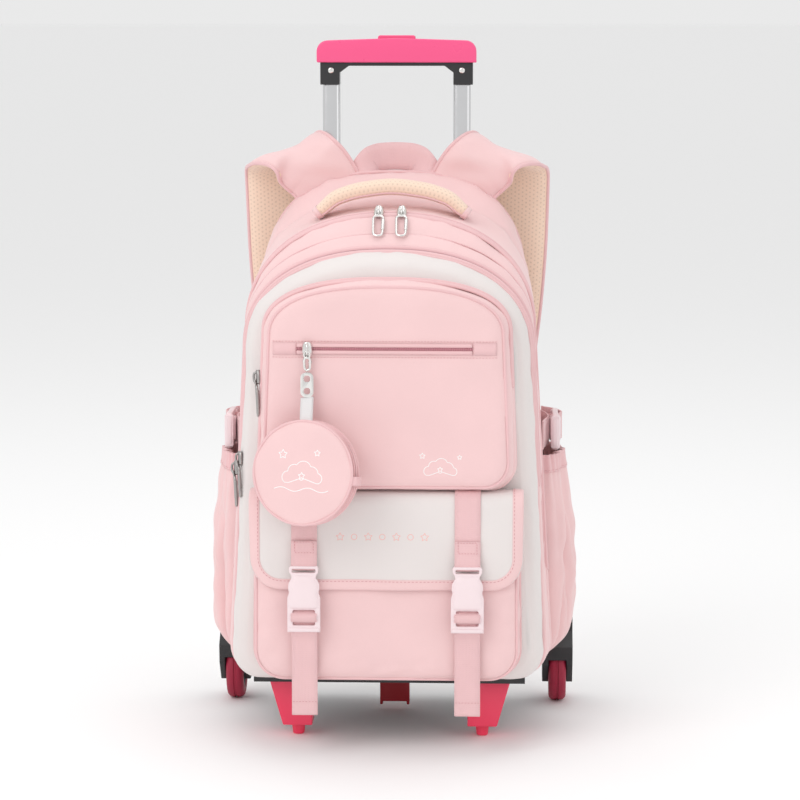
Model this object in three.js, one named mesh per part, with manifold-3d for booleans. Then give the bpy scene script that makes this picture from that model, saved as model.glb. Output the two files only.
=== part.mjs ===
// A child's wheeled backpack: three sewn compartments and their pockets on a small trolley with a
// telescopic handle. Millimetres, +Z up, the bag's front faces -Y.
import * as THREE from 'three';
import { mergeVertices } from 'three/addons/utils/BufferGeometryUtils.js';
import Module from 'manifold-3d';

const wasm = await Module();
wasm.setup();

// Clearances
const seat = 0.3;
const slide = 0.5;
const running = 0.4;

// Bag
const bagWidth = 282;
const bagHeight = 434;
const bagDepth = 216;
const bagBase = 60.3;
const wall = 2;
const sheet = 2.4;
const backPad = 14;
const mainDepth = 120;
const middleDepth = 36;
const frontDepth = 28;

// Front pockets, flap and side pockets
const pocketWidth = 220;
const upperPocketBase = 231;
const upperPocketHeight = 180;
const upperPocketDepth = 31;
const lowerPocketBase = 66;
const lowerPocketHeight = 162;
const lowerPocketDepth = 27;
const flapWidth = 234;
const flapDrop = 86;
const flapEdge = 9;
const sidePocketBase = 70;
const sidePocketHeight = 178;
const sidePocketReach = 27;
const sidePocketBack = 20;
const sidePocketFront = 112;
const sidePocketGap = 0.8;
const sidePocketRoundness = 0.7;
const sidePocketLip = 0.6;
const flapFold = 7.2;

// Straps and handles
const strapWidth = 62;
const strapPad = 11;
const strapReach = 36;
const webWidth = 25;
const webThickness = 1.6;
const adjusterWidth = 36;
const adjusterHeight = 30;
const adjusterThickness = 5;
const strapSteps = 22;
const webSteps = 8;
const carrySpan = 134;
const carryRise = 25;
const carryPad = 13;
const carryWidth = 27;
const carryPlace = 84;
const loopSpan = 84;
const loopRise = 18;
const loopReach = 22;
const loopBand = 18;
const carrySteps = 16;
const loopSteps = 14;
const softEdge = 0.6;

// Front buckles and their webbing
const buckleSpacing = 139;
const buckleWidth = 28;
const buckleHeight = 57;
const buckleThickness = 9;
const buckleBase = 112;
const flapWebWidth = 22;
const tailEnd = 38;
const buckleBar = 0.6;
const tailRoot = 0.06;
const sideBuckleLength = 52;
const sideBuckleHeight = 32;
const sideBuckleThickness = 13;
const sideBucklePlace = 266;

// Purse
const purseRadius = 44;
const purseDepth = 22;
const purseX = -66;
const purseZ = 252;
const purseTurn = 15;
const purseTilt = 8;
const purseMouth = 2;
const purseMouthFloor = 11;
const purseEdge = 4;
const purseSides = 24;
const purseTabWidth = 11;
const claspLength = 21;
const claspWidth = 11;
const claspThickness = 2.6;

// Zips and their pullers
const zipWidth = 9;
const zipHeight = 1.4;
const zipLift = 0.6;
const pullerLength = 30;
const pullerWidth = 11;
const pullerThickness = 2.2;
const sliderLength = 12;
const sliderWidth = 9;
const sliderHeight = 5.5;
const weltZipZ = 354;
const weltZipLength = 148;
const mainZipEnd = 148;
const middleZipEnd = 228;
const pocketZipLeftEnd = 250;
const pocketZipRightEnd = 319;
const middlePullerZ = 243;
const frontPullerZ = 327;
const frontPullerLowerZ = 254;
const frontPullerLowerDepth = 173;
const mainPullerX = 10;
const pullerSlot = 5;
const pullerLift = 2.4;
const weltPullerLength = 17;
const pullerRound = 0.42;
const pullerSlotShare = 0.6;
const pullerTuck = 0.35;

// Trolley
const tubeSpacing = 119;
const tubeY = 20;
const innerTubeWidth = 16;
const innerTubeDepth = 12.5;
const tubeWall = 1.2;
const tubeRound = 0.32;
const outerTubeFoot = 62;
const outerTubeTop = 466;
const middleTubeLength = 398;
const collarHeight = 9;
const innerTubeLength = 410;
const bracketHeight = 16;
const gripBottom = 570;
const gripHeight = 42;
const gripTop = gripBottom + gripHeight;
const gripWidth = 145;
const gripDepth = 26;
const gripLeg = 24;
const gripInset = 20;
const coverWall = 3.2;
const gripCrown = 4.8;
const gripChamfer = 6;
const gripBarDrop = 3;
const gripKnee = 8;
const coverCorner = 10;
const coverCrown = 2;
const buttonWidth = 34;
const buttonRound = 2;
const buttonDepth = 13;
const buttonProud = 2.5;
const buttonTravel = 3;
const trayWidth = 238;
const trayFront = 150;
const trayThickness = 8;
const trayUpright = 72;
const trayUprightWidth = 156;
const socketWall = 3;
const bracketWall = 2;
const bridgeBack = 2;
const wellCut = 2;
const wheelRadius = 29;
const wheelWidth = 16;
const wheelTrack = 299;
const wheelY = 15;
const hubRadius = 19;
const treadRound = 3;
const wheelSides = 20;
const axleRadius = 3.5;
const hubInset = 1.5;
const forkArm = 5.5;
const mudguardGap = 4;
const forkBridge = 12;
const footSpacing = 163;
const footY = 125;
const footWidth = 26;
const footTopWidth = 38;
const footDepth = 26;
const footBlockBase = 10;
const footTipRadius = 6.5;
const centreFootWidth = 27;
const centreFootDepth = 12;
const centreFootY = 25;
const centreFootClear = 4;
const centreFootWeb = 3;
const centreFootLeg = 2.5;

// Places that follow from the sizes above
const halfBag = bagWidth / 2;
const tubeX = tubeSpacing / 2;
const middleTubeWidth = innerTubeWidth + 2 * (slide + tubeWall);
const middleTubeDepth = innerTubeDepth + 2 * (slide + tubeWall);
const outerTubeWidth = middleTubeWidth + 2 * (slide + tubeWall);
const outerTubeDepth = middleTubeDepth + 2 * (slide + tubeWall);
const mainFront = mainDepth;
const middleBack = mainFront + seat;
const middleFront = mainDepth + middleDepth;
const frontBack = middleFront + seat;
const frontFace = middleFront + frontDepth;
const pocketBack = frontFace + seat;
const upperFace = pocketBack + upperPocketDepth;
const lowerFace = pocketBack + lowerPocketDepth;
const flapFace = lowerFace + seat + sheet;
const trayTop = bagBase - seat;
const pocketZipDepth = pocketBack + zipWidth;

// The bag's outline at several depths. back is a share of bagDepth; high and low are half-widths as
// shares of half the bag's width; foot, top and shoulder are heights above the base as shares of its
// height; bend is the exponent of the rounded top; corner is a share of half the width.
const bagLayers = [
  { back: 0, high: 0.823, low: 0.95, foot: 0.004, top: 1, shoulder: 0.748, bend: 2.6, corner: 0.17 },
  { back: 0.066, high: 0.84, low: 0.96, foot: 0, top: 0.998, shoulder: 0.745, bend: 2.6, corner: 0.17 },
  { back: 0.21, high: 0.872, low: 0.988, foot: 0, top: 0.954, shoulder: 0.725, bend: 2.4, corner: 0.17 },
  { back: 0.37, high: 0.887, low: 1, foot: 0, top: 0.931, shoulder: 0.71, bend: 2.3, corner: 0.17 },
  { back: 0.555, high: 0.887, low: 1, foot: 0.002, top: 0.924, shoulder: 0.695, bend: 2.2, corner: 0.17 },
  { back: 0.64, high: 0.898, low: 0.998, foot: 0.004, top: 0.89, shoulder: 0.68, bend: 2.25, corner: 0.17 },
  { back: 0.72, high: 0.879, low: 0.972, foot: 0.006, top: 0.859, shoulder: 0.656, bend: 2.3, corner: 0.16 },
  { back: 0.787, high: 0.862, low: 0.955, foot: 0.009, top: 0.846, shoulder: 0.65, bend: 2.3, corner: 0.15 },
  { back: 0.833, high: 0.83, low: 0.925, foot: 0.02, top: 0.828, shoulder: 0.645, bend: 2.4, corner: 0.14 },
  { back: 0.852, high: 0.77, low: 0.865, foot: 0.04, top: 0.8, shoulder: 0.64, bend: 2.5, corner: 0.13 },
];

// A front pocket's outline from its seam to its face: out is a share of its depth, high and low are
// shares of half pocketWidth, the heights are shares of the pocket's own height above its base.
const upperPocketLayers = [
  { out: 0, high: 0.96, low: 1, foot: 0, top: 1, shoulder: 0.74, bend: 2.5, corner: 0.2 },
  { out: 0.5, high: 0.945, low: 0.985, foot: 0.005, top: 0.99, shoulder: 0.735, bend: 2.5, corner: 0.2 },
  { out: 0.8, high: 0.905, low: 0.945, foot: 0.022, top: 0.972, shoulder: 0.73, bend: 2.5, corner: 0.19 },
  { out: 1, high: 0.845, low: 0.885, foot: 0.055, top: 0.935, shoulder: 0.72, bend: 2.6, corner: 0.17 },
];
const lowerPocketLayers = [
  { out: 0, high: 1.03, low: 1.045, foot: 0, top: 1, shoulder: 0.9, bend: 5, corner: 0.22 },
  { out: 0.6, high: 1.02, low: 1.03, foot: 0.005, top: 0.995, shoulder: 0.9, bend: 5, corner: 0.22 },
  { out: 0.88, high: 0.985, low: 0.995, foot: 0.025, top: 0.98, shoulder: 0.89, bend: 5, corner: 0.21 },
  { out: 1, high: 0.92, low: 0.93, foot: 0.07, top: 0.94, shoulder: 0.87, bend: 5, corner: 0.19 },
];

// A gathered side pocket from its floor to its hem: rise is a share of its height, bulge a share of
// its reach, spread a share of its length along the bag's side.
const sidePocketRows = [
  { rise: 0, bulge: 0.3, spread: 0.86 },
  { rise: 0.03, bulge: 0.42, spread: 0.92 },
  { rise: 0.07, bulge: 0.58, spread: 0.96 },
  { rise: 0.12, bulge: 0.72, spread: 0.98 },
  { rise: 0.25, bulge: 0.9, spread: 1 },
  { rise: 0.5, bulge: 1, spread: 1 },
  { rise: 0.75, bulge: 0.92, spread: 0.98 },
  { rise: 0.93, bulge: 0.74, spread: 0.95 },
  { rise: 1, bulge: 0.7, spread: 0.94 },
];

// A shoulder strap from its seam at the bag's top to its lower end. side is a share of half the
// bag's width, back a share of strapReach, up a share of bagHeight, turn the degrees by which the
// band's outer edge drops, wide a share of strapWidth, pad a share of strapPad.
const strapRows = [
  { side: 0.53, back: -0.34, up: 0.976, turn: 31, wide: 0.94, pad: 0.55 },
  { side: 0.59, back: -0.4, up: 1.02, turn: 30, wide: 0.98, pad: 0.85 },
  { side: 0.68, back: -0.18, up: 1.047, turn: 14, wide: 1, pad: 1 },
  { side: 0.745, back: 0.3, up: 1.04, turn: 5, wide: 1, pad: 1 },
  { side: 0.758, back: 0.72, up: 0.985, turn: 0, wide: 1, pad: 1 },
  { side: 0.755, back: 0.95, up: 0.86, turn: 0, wide: 1, pad: 1 },
  { side: 0.735, back: 0.98, up: 0.74, turn: 0, wide: 0.98, pad: 1 },
  { side: 0.705, back: 0.84, up: 0.62, turn: 0, wide: 0.92, pad: 0.95 },
  { side: 0.68, back: 0.66, up: 0.52, turn: 0, wide: 0.78, pad: 0.8 },
  { side: 0.672, back: 0.58, up: 0.48, turn: 0, wide: 0.55, pad: 0.45 },
];

// The lower webbing of a strap, from the strap's end to the bag's bottom corner
const strapWebRows = [
  { side: 0.672, back: 0.58, up: 0.4757 },
  { side: 0.68, back: 0.5, up: 0.4 },
  { side: 0.72, back: 0.36, up: 0.27 },
  { side: 0.79, back: 0.16, up: 0.13 },
  { side: 0.82, back: 0.1, up: 0.07 },
];

// The carry handle's arch and the hang loop: along runs from one end to the other, rise is a share
// of the rise, and lean tells how far the hang loop stands back, as a share of its reach.
const carryRows = [
  { along: -1, rise: 0, pad: 0.3, wide: 0.8 },
  { along: -0.91, rise: 0.2, pad: 0.6, wide: 0.9 },
  { along: -0.72, rise: 0.66, pad: 1, wide: 1 },
  { along: -0.36, rise: 0.93, pad: 1, wide: 1 },
  { along: 0, rise: 1, pad: 1, wide: 1 },
];
const loopRows = [
  { along: -1, lean: 0, rise: 0, tip: 0 },
  { along: -0.92, lean: 0.16, rise: 0.1, tip: 20 },
  { along: -0.7, lean: 0.62, rise: 0.8, tip: 65 },
  { along: -0.4, lean: 0.94, rise: 1, tip: 85 },
  { along: 0, lean: 1, rise: 1, tip: 88 },
];

// A front buckle's right edge from its foot to its top: shares of half its width and of its height.
// Its windows follow, each with its height and its thickness as shares of the buckle's height.
const buckleEdge = [
  [1, 0], [1, 0.52], [0.92, 0.58], [0.96, 0.66], [0.9, 0.78], [0.72, 0.84], [0.92, 0.92], [0.84, 1],
];
const buckleWindows = [
  { at: 0.93, tall: 0.06 },
  { at: 0.30, tall: 0.07 },
  { at: 0.14, tall: 0.07 },
];

// A wheel fork with its mudguard seen from the side: y and z from the axle, as shares of wheelRadius
const forkProfile = [
  [-0.41, -0.34], [0.41, -0.34], [0.69, 0], [1.03, 0.55], [1, 1.03], [0.55, 1.34], [0.14, 2.59],
  [-0.28, 2.59], [-0.48, 1.34], [-1, 0.9], [-0.93, 0.28],
];

// Turns an indexed mesh so that its faces point outwards, and gives its geometry
function closedBody(points, faces) {
  let volume = 0;
  for (const [a, b, c] of faces) {
    const cross = new THREE.Vector3().crossVectors(points[b], points[c]);
    volume += points[a].dot(cross);
  }
  const order = volume < 0 ? ([a, b, c]) => [a, c, b] : (face) => face;
  const geometry = new THREE.BufferGeometry().setFromPoints(points);
  geometry.setIndex(faces.map(order).flat());
  return geometry;
}

// Skins a row of rings that hold equally many points, and closes both ends
function skin(rings) {
  const count = rings[0].length;
  const points = rings.flat();
  const faces = [];
  for (let ring = 0; ring + 1 < rings.length; ring += 1) {
    for (let i = 0; i < count; i += 1) {
      const next = (i + 1) % count;
      const a = ring * count + i;
      const b = ring * count + next;
      faces.push([a, b, b + count]);
      faces.push([a, b + count, a + count]);
    }
  }
  for (const end of [0, rings.length - 1]) {
    const middle = new THREE.Vector3();
    rings[end].forEach((point) => middle.addScaledVector(point, 1 / count));
    const hub = points.push(middle) - 1;
    for (let i = 0; i < count; i += 1) {
      const a = end * count + i;
      const b = end * count + ((i + 1) % count);
      faces.push(end === 0 ? [hub, b, a] : [hub, a, b]);
    }
  }
  return closedBody(points, faces);
}

// Boolean solids: a geometry becomes a solid, and a solid a geometry
function solidOf(geometry) {
  let plain = geometry.clone();
  plain.deleteAttribute('normal');
  plain.deleteAttribute('uv');
  plain = mergeVertices(plain, 1e-4);
  return new wasm.Manifold(new wasm.Mesh({
    numProp: 3,
    vertProperties: new Float32Array(plain.attributes.position.array),
    triVerts: new Uint32Array(plain.index.array),
  }));
}

function geometryOf(solid) {
  const mesh = solid.getMesh();
  const geometry = new THREE.BufferGeometry();
  geometry.setAttribute('position', new THREE.BufferAttribute(mesh.vertProperties, 3));
  geometry.setIndex(new THREE.BufferAttribute(mesh.triVerts, 1));
  return geometry;
}

// A box between two corners, as a solid
function block(low, high) {
  const size = high.map((value, i) => value - low[i]);
  const geometry = new THREE.BoxGeometry(...size);
  geometry.translate(...low.map((value, i) => value + size[i] / 2));
  return solidOf(geometry);
}

// A cylinder along X between two x values, as a solid
function roundAlongX(radius, x0, x1, y, z, sides) {
  const geometry = new THREE.CylinderGeometry(radius, radius, x1 - x0, sides);
  geometry.rotateZ(Math.PI / 2);
  geometry.translate((x0 + x1) / 2, y, z);
  return solidOf(geometry);
}

function extrude(shape, depth, curveSegments) {
  return new THREE.ExtrudeGeometry(shape, { depth, curveSegments, bevelEnabled: false });
}

// A shape drawn in x and z, given its depth along +Y from y0
function frontPlate(shape, y0, depth, curveSegments = 4) {
  const geometry = extrude(shape, depth, curveSegments);
  geometry.rotateX(Math.PI / 2);
  geometry.translate(0, y0 + depth, 0);
  return geometry;
}

function roundedRect(width, height, radius, path = new THREE.Shape(), x = 0, y = 0) {
  const w = width / 2;
  const h = height / 2;
  path.moveTo(x - w + radius, y - h);
  path.lineTo(x + w - radius, y - h);
  path.absarc(x + w - radius, y - h + radius, radius, -Math.PI / 2, 0, false);
  path.lineTo(x + w, y + h - radius);
  path.absarc(x + w - radius, y + h - radius, radius, 0, Math.PI / 2, false);
  path.lineTo(x - w + radius, y + h);
  path.absarc(x - w + radius, y + h - radius, radius, Math.PI / 2, Math.PI, false);
  path.lineTo(x - w, y - h + radius);
  path.absarc(x - w + radius, y - h + radius, radius, Math.PI, Math.PI * 1.5, false);
  path.closePath();
  return path;
}

// Straight blend of two table rows
function between(rows, key, value) {
  const last = rows.length - 1;
  let i = 0;
  while (i < last - 1 && rows[i + 1][key] < value) {
    i += 1;
  }
  const share = (value - rows[i][key]) / (rows[i + 1][key] - rows[i][key]);
  const part = Math.min(Math.max(share, 0), 1);
  const row = {};
  for (const name of Object.keys(rows[i])) {
    row[name] = rows[i][name] + (rows[i + 1][name] - rows[i][name]) * part;
  }
  return row;
}

// A table row as an outline in millimetres
function outlineSizes(row, halfWidth, base, height) {
  return {
    high: row.high * halfWidth,
    low: row.low * halfWidth,
    foot: base + row.foot * height,
    top: base + row.top * height,
    shoulder: base + row.shoulder * height,
    bend: row.bend,
    corner: row.corner * halfWidth,
  };
}

function bagOutline(depth) {
  return outlineSizes(between(bagLayers, 'back', depth / bagDepth), halfBag, bagBase, bagHeight);
}

// Half the outline's width at a height
function halfWidthAt(outline, z) {
  if (z >= outline.shoulder) {
    const rise = Math.min((z - outline.shoulder) / (outline.top - outline.shoulder), 1);
    return outline.high * (1 - rise ** outline.bend) ** (1 / outline.bend);
  }
  const up = Math.max(z - outline.foot, 0);
  if (up < outline.corner) {
    const inset = outline.corner - up;
    return outline.low - outline.corner + Math.sqrt(outline.corner ** 2 - inset ** 2);
  }
  const share = (up - outline.corner) / (outline.shoulder - outline.foot - outline.corner);
  return outline.low + (outline.high - outline.low) * share;
}

// The rounded outline as points from bottom centre up the right side and down the left
const cornerSteps = 3;
const shoulderSteps = 6;

function rightHalf(outline, grow) {
  const { high, low, foot, top, shoulder, bend, corner } = outline;
  const points = [];
  for (let i = 0; i <= cornerSteps; i += 1) {
    const angle = (-Math.PI / 2) * (1 - i / cornerSteps);
    const x = low - corner + (corner + grow) * Math.cos(angle);
    const z = foot + corner + (corner + grow) * Math.sin(angle);
    points.push([x, z]);
  }
  for (let i = 0; i < shoulderSteps; i += 1) {
    const angle = (Math.PI / 2) * (i / shoulderSteps);
    const x = (high + grow) * Math.cos(angle) ** (2 / bend);
    const z = shoulder + (top + grow - shoulder) * Math.sin(angle) ** (2 / bend);
    points.push([x, z]);
  }
  return points;
}

// The outline's top at a distance from its middle
function topAt(outline, x) {
  const crown = [...rightHalf(outline, 0).slice(cornerSteps + 1), [0, outline.top]];
  const next = crown.findIndex(([edge]) => edge <= x);
  const [x0, z0] = crown[next - 1];
  const [x1, z1] = crown[next];
  return z0 + ((z1 - z0) * (x - x0)) / (x1 - x0);
}

function ring(outline, depth, grow = 0) {
  const right = rightHalf(outline, grow);
  const left = right.map(([x, z]) => [-x, z]).reverse();
  const flat = [[0, outline.foot - grow], ...right, [0, outline.top + grow], ...left];
  return flat.map(([x, z]) => new THREE.Vector3(x, -depth, z));
}

// A sewn shell that is open at its back: outlineAt gives its outline at each depth
function openShell(outlineAt, back, depths, thickness) {
  const front = depths[depths.length - 1];
  const floor = front - thickness;
  const all = [back, ...depths];
  const outside = all.map((depth) => ring(outlineAt(depth), depth));
  const inside = all
    .filter((depth) => depth === front || depth < floor)
    .map((depth) => ring(outlineAt(depth), Math.min(depth, floor), -thickness));
  return skin([...inside.reverse(), ...outside]);
}

// Materials
function finish(color, roughness, metalness = 0) {
  return new THREE.MeshStandardMaterial({ color, roughness, metalness });
}
const pinkCloth = () => finish(0xf4cdcd, 0.82);
const whiteCloth = () => finish(0xece6e3, 0.85);
const peachMesh = () => finish(0xf6d6bd, 0.9);
const pinkWebbing = () => finish(0xf0b9ba, 0.8);
const greyWebbing = () => finish(0xd9d5d6, 0.8);
const zipTape = () => finish(0xe2a5ad, 0.7);
const palePlastic = () => finish(0xf6e4e8, 0.35);
const blackPlastic = () => finish(0x1d1d1f, 0.45);
const hotPinkPlastic = () => finish(0xff4f80, 0.35);
const footPlastic = () => finish(0xff3a62, 0.4);
const darkRedPlastic = () => finish(0xb5001a, 0.4);
const crimsonRubber = () => finish(0xb0204a, 0.55);
const steel = () => finish(0xc9cbce, 0.25, 1);
const castMetal = () => finish(0xb8b6b2, 0.35, 1);

const model = new THREE.Group();

function place(parent, name, geometry, material) {
  const mesh = new THREE.Mesh(geometry, material);
  mesh.name = name;
  parent.add(mesh);
  return mesh;
}

// Left is the viewer's left, where x is negative
const sides = [{ name: 'left', sign: -1 }, { name: 'right', sign: 1 }];

// Compartments
function addCompartments() {
  const share = (part, back, front) => back + (front - back) * part;
  const mainDepths = [0.3, 0.62, 1].map((part) => share(part, backPad + seat, mainFront));
  const middleDepths = [0.5, 1].map((part) => share(part, middleBack, middleFront));
  const frontDepths = [0.5, 0.86, 1].map((part) => share(part, frontBack, frontFace));
  place(model, 'main_shell', openShell(bagOutline, backPad + seat, mainDepths, wall), pinkCloth());
  place(model, 'middle_shell', openShell(bagOutline, middleBack, middleDepths, wall), pinkCloth());
  place(model, 'front_shell', openShell(bagOutline, frontBack, frontDepths, wall), whiteCloth());
}

// Padded back
function addBackPanel() {
  const crown = [
    { depth: 1.0, inset: 0 },
    { depth: 0.35, inset: 0 },
    { depth: 0.08, inset: 0.05 },
    { depth: 0.0, inset: 0.16 },
  ];
  const rings = crown.map(({ depth, inset }) => (
    ring(bagOutline(backPad), backPad * depth, -inset * halfBag)));
  place(model, 'back_panel', skin(rings), peachMesh());
}

// Front pockets
function pocketShell(layers, base, height, depth) {
  const outlineAt = (out) => {
    const row = between(layers, 'out', (out - pocketBack) / depth);
    return outlineSizes(row, pocketWidth / 2, base, height);
  };
  const depths = layers.slice(1).map((row) => pocketBack + row.out * depth);
  return openShell(outlineAt, pocketBack, depths, wall);
}

function addPockets() {
  const upper = pocketShell(upperPocketLayers, upperPocketBase, upperPocketHeight, upperPocketDepth);
  const lower = pocketShell(lowerPocketLayers, lowerPocketBase, lowerPocketHeight, lowerPocketDepth);
  place(model, 'upper_pocket', upper, pinkCloth());
  place(model, 'lower_pocket', lower, pinkCloth());
}

// A band swept through rows of centre, width direction and half-width: a flat webbing has four
// corners, a padded band has softened edges.
function band(rows, padded) {
  const rings = rows.map((row, i) => {
    const before = rows[Math.max(i - 1, 0)].at;
    const after = rows[Math.min(i + 1, rows.length - 1)].at;
    const along = new THREE.Vector3().subVectors(after, before).normalize();
    const across = row.across.clone().addScaledVector(along, -row.across.dot(along)).normalize();
    const up = new THREE.Vector3().crossVectors(along, across);
    const edge = Math.min(row.thick * softEdge, row.half / 2);
    const corners = padded
      ? [[-1, -0.25, 0], [-1, -0.5, edge], [1, -0.5, -edge], [1, -0.25, 0],
        [1, 0.25, 0], [1, 0.5, -edge], [-1, 0.5, edge], [-1, 0.25, 0]]
      : [[-1, -0.5, 0], [1, -0.5, 0], [1, 0.5, 0], [-1, 0.5, 0]];
    return corners.map(([w, t, shift]) => row.at.clone()
      .addScaledVector(across, w * row.half + shift)
      .addScaledVector(up, t * row.thick));
  });
  return skin(rings);
}

// Smooth rows between the few given ones
function smoothRows(rows, count) {
  const path = new THREE.CatmullRomCurve3(rows.map((row) => row.at), false, 'centripetal');
  const last = rows.length - 1;
  return Array.from({ length: count + 1 }, (_, i) => {
    const share = (i / count) * last;
    const k = Math.min(Math.floor(share), last - 1);
    const part = share - k;
    const mix = (name) => rows[k][name] + (rows[k + 1][name] - rows[k][name]) * part;
    return {
      at: path.getPoint(i / count),
      across: rows[k].across.clone().lerp(rows[k + 1].across, part),
      half: mix('half'),
      thick: mix('thick'),
    };
  });
}

// Zip tapes lie on the seams as raised bands, open at their lower ends
function zipBand(outlineAt, depth, leftEnd, rightEnd) {
  const depths = [depth - zipWidth / 2, depth, depth + zipWidth / 2];
  const loop = (at, grow) => {
    const outline = outlineAt(at);
    const points = ring(outline, at, grow);
    const foot = (sign, end) => new THREE.Vector3(sign * (halfWidthAt(outline, end) + grow), -at, end);
    const kept = points.slice(1 + cornerSteps + 1, points.length - cornerSteps - 1);
    return [foot(1, rightEnd), ...kept, foot(-1, leftEnd)];
  };
  const low = depths.map((at) => loop(at, zipLift));
  const high = depths.map((at) => loop(at, zipLift + zipHeight)).reverse();
  const edges = [...low, ...high];
  return skin(low[0].map((_, i) => edges.map((edge) => edge[i])));
}

function upperPocketOutline(depth) {
  const row = between(upperPocketLayers, 'out', (depth - pocketBack) / upperPocketDepth);
  return outlineSizes(row, pocketWidth / 2, upperPocketBase, upperPocketHeight);
}

function addZips() {
  const zips = {
    main_zip: zipBand(bagOutline, mainFront, mainZipEnd, mainZipEnd),
    middle_zip: zipBand(bagOutline, middleFront, middleZipEnd, middleZipEnd),
    pocket_zip: zipBand(upperPocketOutline, pocketZipDepth, pocketZipLeftEnd, pocketZipRightEnd),
  };
  for (const [name, geometry] of Object.entries(zips)) {
    place(model, name, geometry, zipTape());
  }
  const strip = new THREE.BoxGeometry(weltZipLength, zipHeight, zipWidth);
  strip.translate(0, -upperFace - seat - zipHeight / 2, weltZipZ);
  place(model, 'welt_zip', strip, zipTape());
}

// A zip slider with its lug and a long puller with a rounded slot. The slider's underside is at
// y = 0, it faces -y, and the puller hangs down from z = 0.
function zipPuller(length) {
  const half = sliderWidth / 2;
  const slider = block([-half, -sliderHeight, -sliderLength / 2], [half, 0, sliderLength / 2]);
  const shape = roundedRect(pullerWidth, length, pullerWidth * pullerRound);
  const slot = roundedRect(pullerSlot, length * pullerSlotShare, pullerSlot * pullerRound,
    new THREE.Path());
  shape.holes.push(slot);
  const front = -pullerLift - pullerThickness;
  const plate = frontPlate(shape, front, pullerThickness, 2);
  plate.translate(0, 0, -sliderLength / 2 - length / 2 + pullerWidth * pullerTuck);
  return geometryOf(slider.add(solidOf(plate)));
}

// Where a puller sits: x, depth and z of the slider's underside, the surface's slope and its turn
function addPuller(name, x, depth, z, slope, turn, length = pullerLength) {
  const mesh = place(model, name, zipPuller(length), castMetal());
  mesh.rotation.order = 'ZXY';
  mesh.rotation.set(slope, 0, turn);
  mesh.position.set(x, -depth, z);
}

const overZip = zipLift + zipHeight + seat;

function addPullers() {
  const fall = bagOutline(mainFront).top - bagOutline(middleFront).top;
  const slope = Math.atan2(middleFront - mainFront, fall);
  for (const { name, sign } of sides) {
    const depth = mainFront + sliderLength / 2;
    const z = bagOutline(depth).top + overZip + seat;
    addPuller(`main_puller_${name}`, sign * mainPullerX, depth, z, -slope, 0);
  }
  const addSidePuller = (name, outlineAt, depth, z, lift = overZip) => {
    const half = (shift) => halfWidthAt(outlineAt(depth + shift), z);
    const reach = sliderWidth / 2;
    const lean = Math.atan2(half(-reach) - half(reach), sliderWidth);
    const out = Math.max(half(0), (half(-reach) + half(reach)) / 2) + lift / Math.cos(lean);
    addPuller(name, -out, depth, z, 0, lean - Math.PI / 2);
  };
  addSidePuller('middle_puller', bagOutline, middleFront, middlePullerZ);
  addSidePuller('front_puller_upper', upperPocketOutline, pocketZipDepth, frontPullerZ);
  addSidePuller('front_puller_lower', bagOutline, frontPullerLowerDepth, frontPullerLowerZ, 2 * seat);
  const weltFace = upperFace + seat + zipHeight + seat;
  addPuller('pocket_puller', purseX, weltFace, weltZipZ, 0, 0, weltPullerLength);
}

// Flap over the lower pocket: it starts under the upper pocket and drops over the lower one
function addFlap() {
  const top = lowerPocketBase + lowerPocketHeight + seat + sheet / 2;
  const face = flapFace - sheet / 2;
  const half = flapWidth / 2;
  const bottom = top - flapDrop;
  const round = flapEdge * 2;
  const turns = (degrees, row) => degrees.map((angle) => row(THREE.MathUtils.degToRad(angle)));
  const rows = [
    { depth: pocketBack + sheet, z: top, inset: 0 },
    ...turns([90, 45, 0], (angle) => ({
      depth: face - flapFold * (1 - Math.cos(angle)), z: top - flapFold * (1 - Math.sin(angle)), inset: 0,
    })),
    ...turns([0, 30, 60, 90], (angle) => ({
      depth: face, z: bottom + round * (1 - Math.sin(angle)), inset: round * (1 - Math.cos(angle)),
    })),
  ];
  const across = new THREE.Vector3(1, 0, 0);
  const bandRows = rows.map(({ depth, z, inset }) => ({
    at: new THREE.Vector3(0, -depth, z), across, half: half - inset, thick: sheet,
  }));
  place(model, 'flap', band(bandRows, false), whiteCloth());
}

// Webbing, buckle and tail on each side of the flap
function buckleOutline() {
  const half = buckleWidth / 2;
  const h = buckleHeight;
  const right = buckleEdge.map(([x, z]) => new THREE.Vector2(x * half, z * h));
  const left = buckleEdge.map(([x, z]) => new THREE.Vector2(-x * half, z * h)).reverse();
  const shape = new THREE.Shape([...right, ...left]);
  for (const { at, tall } of buckleWindows) {
    shape.holes.push(roundedRect(buckleWidth * 0.7, h * tall, h * 0.02, new THREE.Path(), 0, h * at));
  }
  return shape;
}

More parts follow.
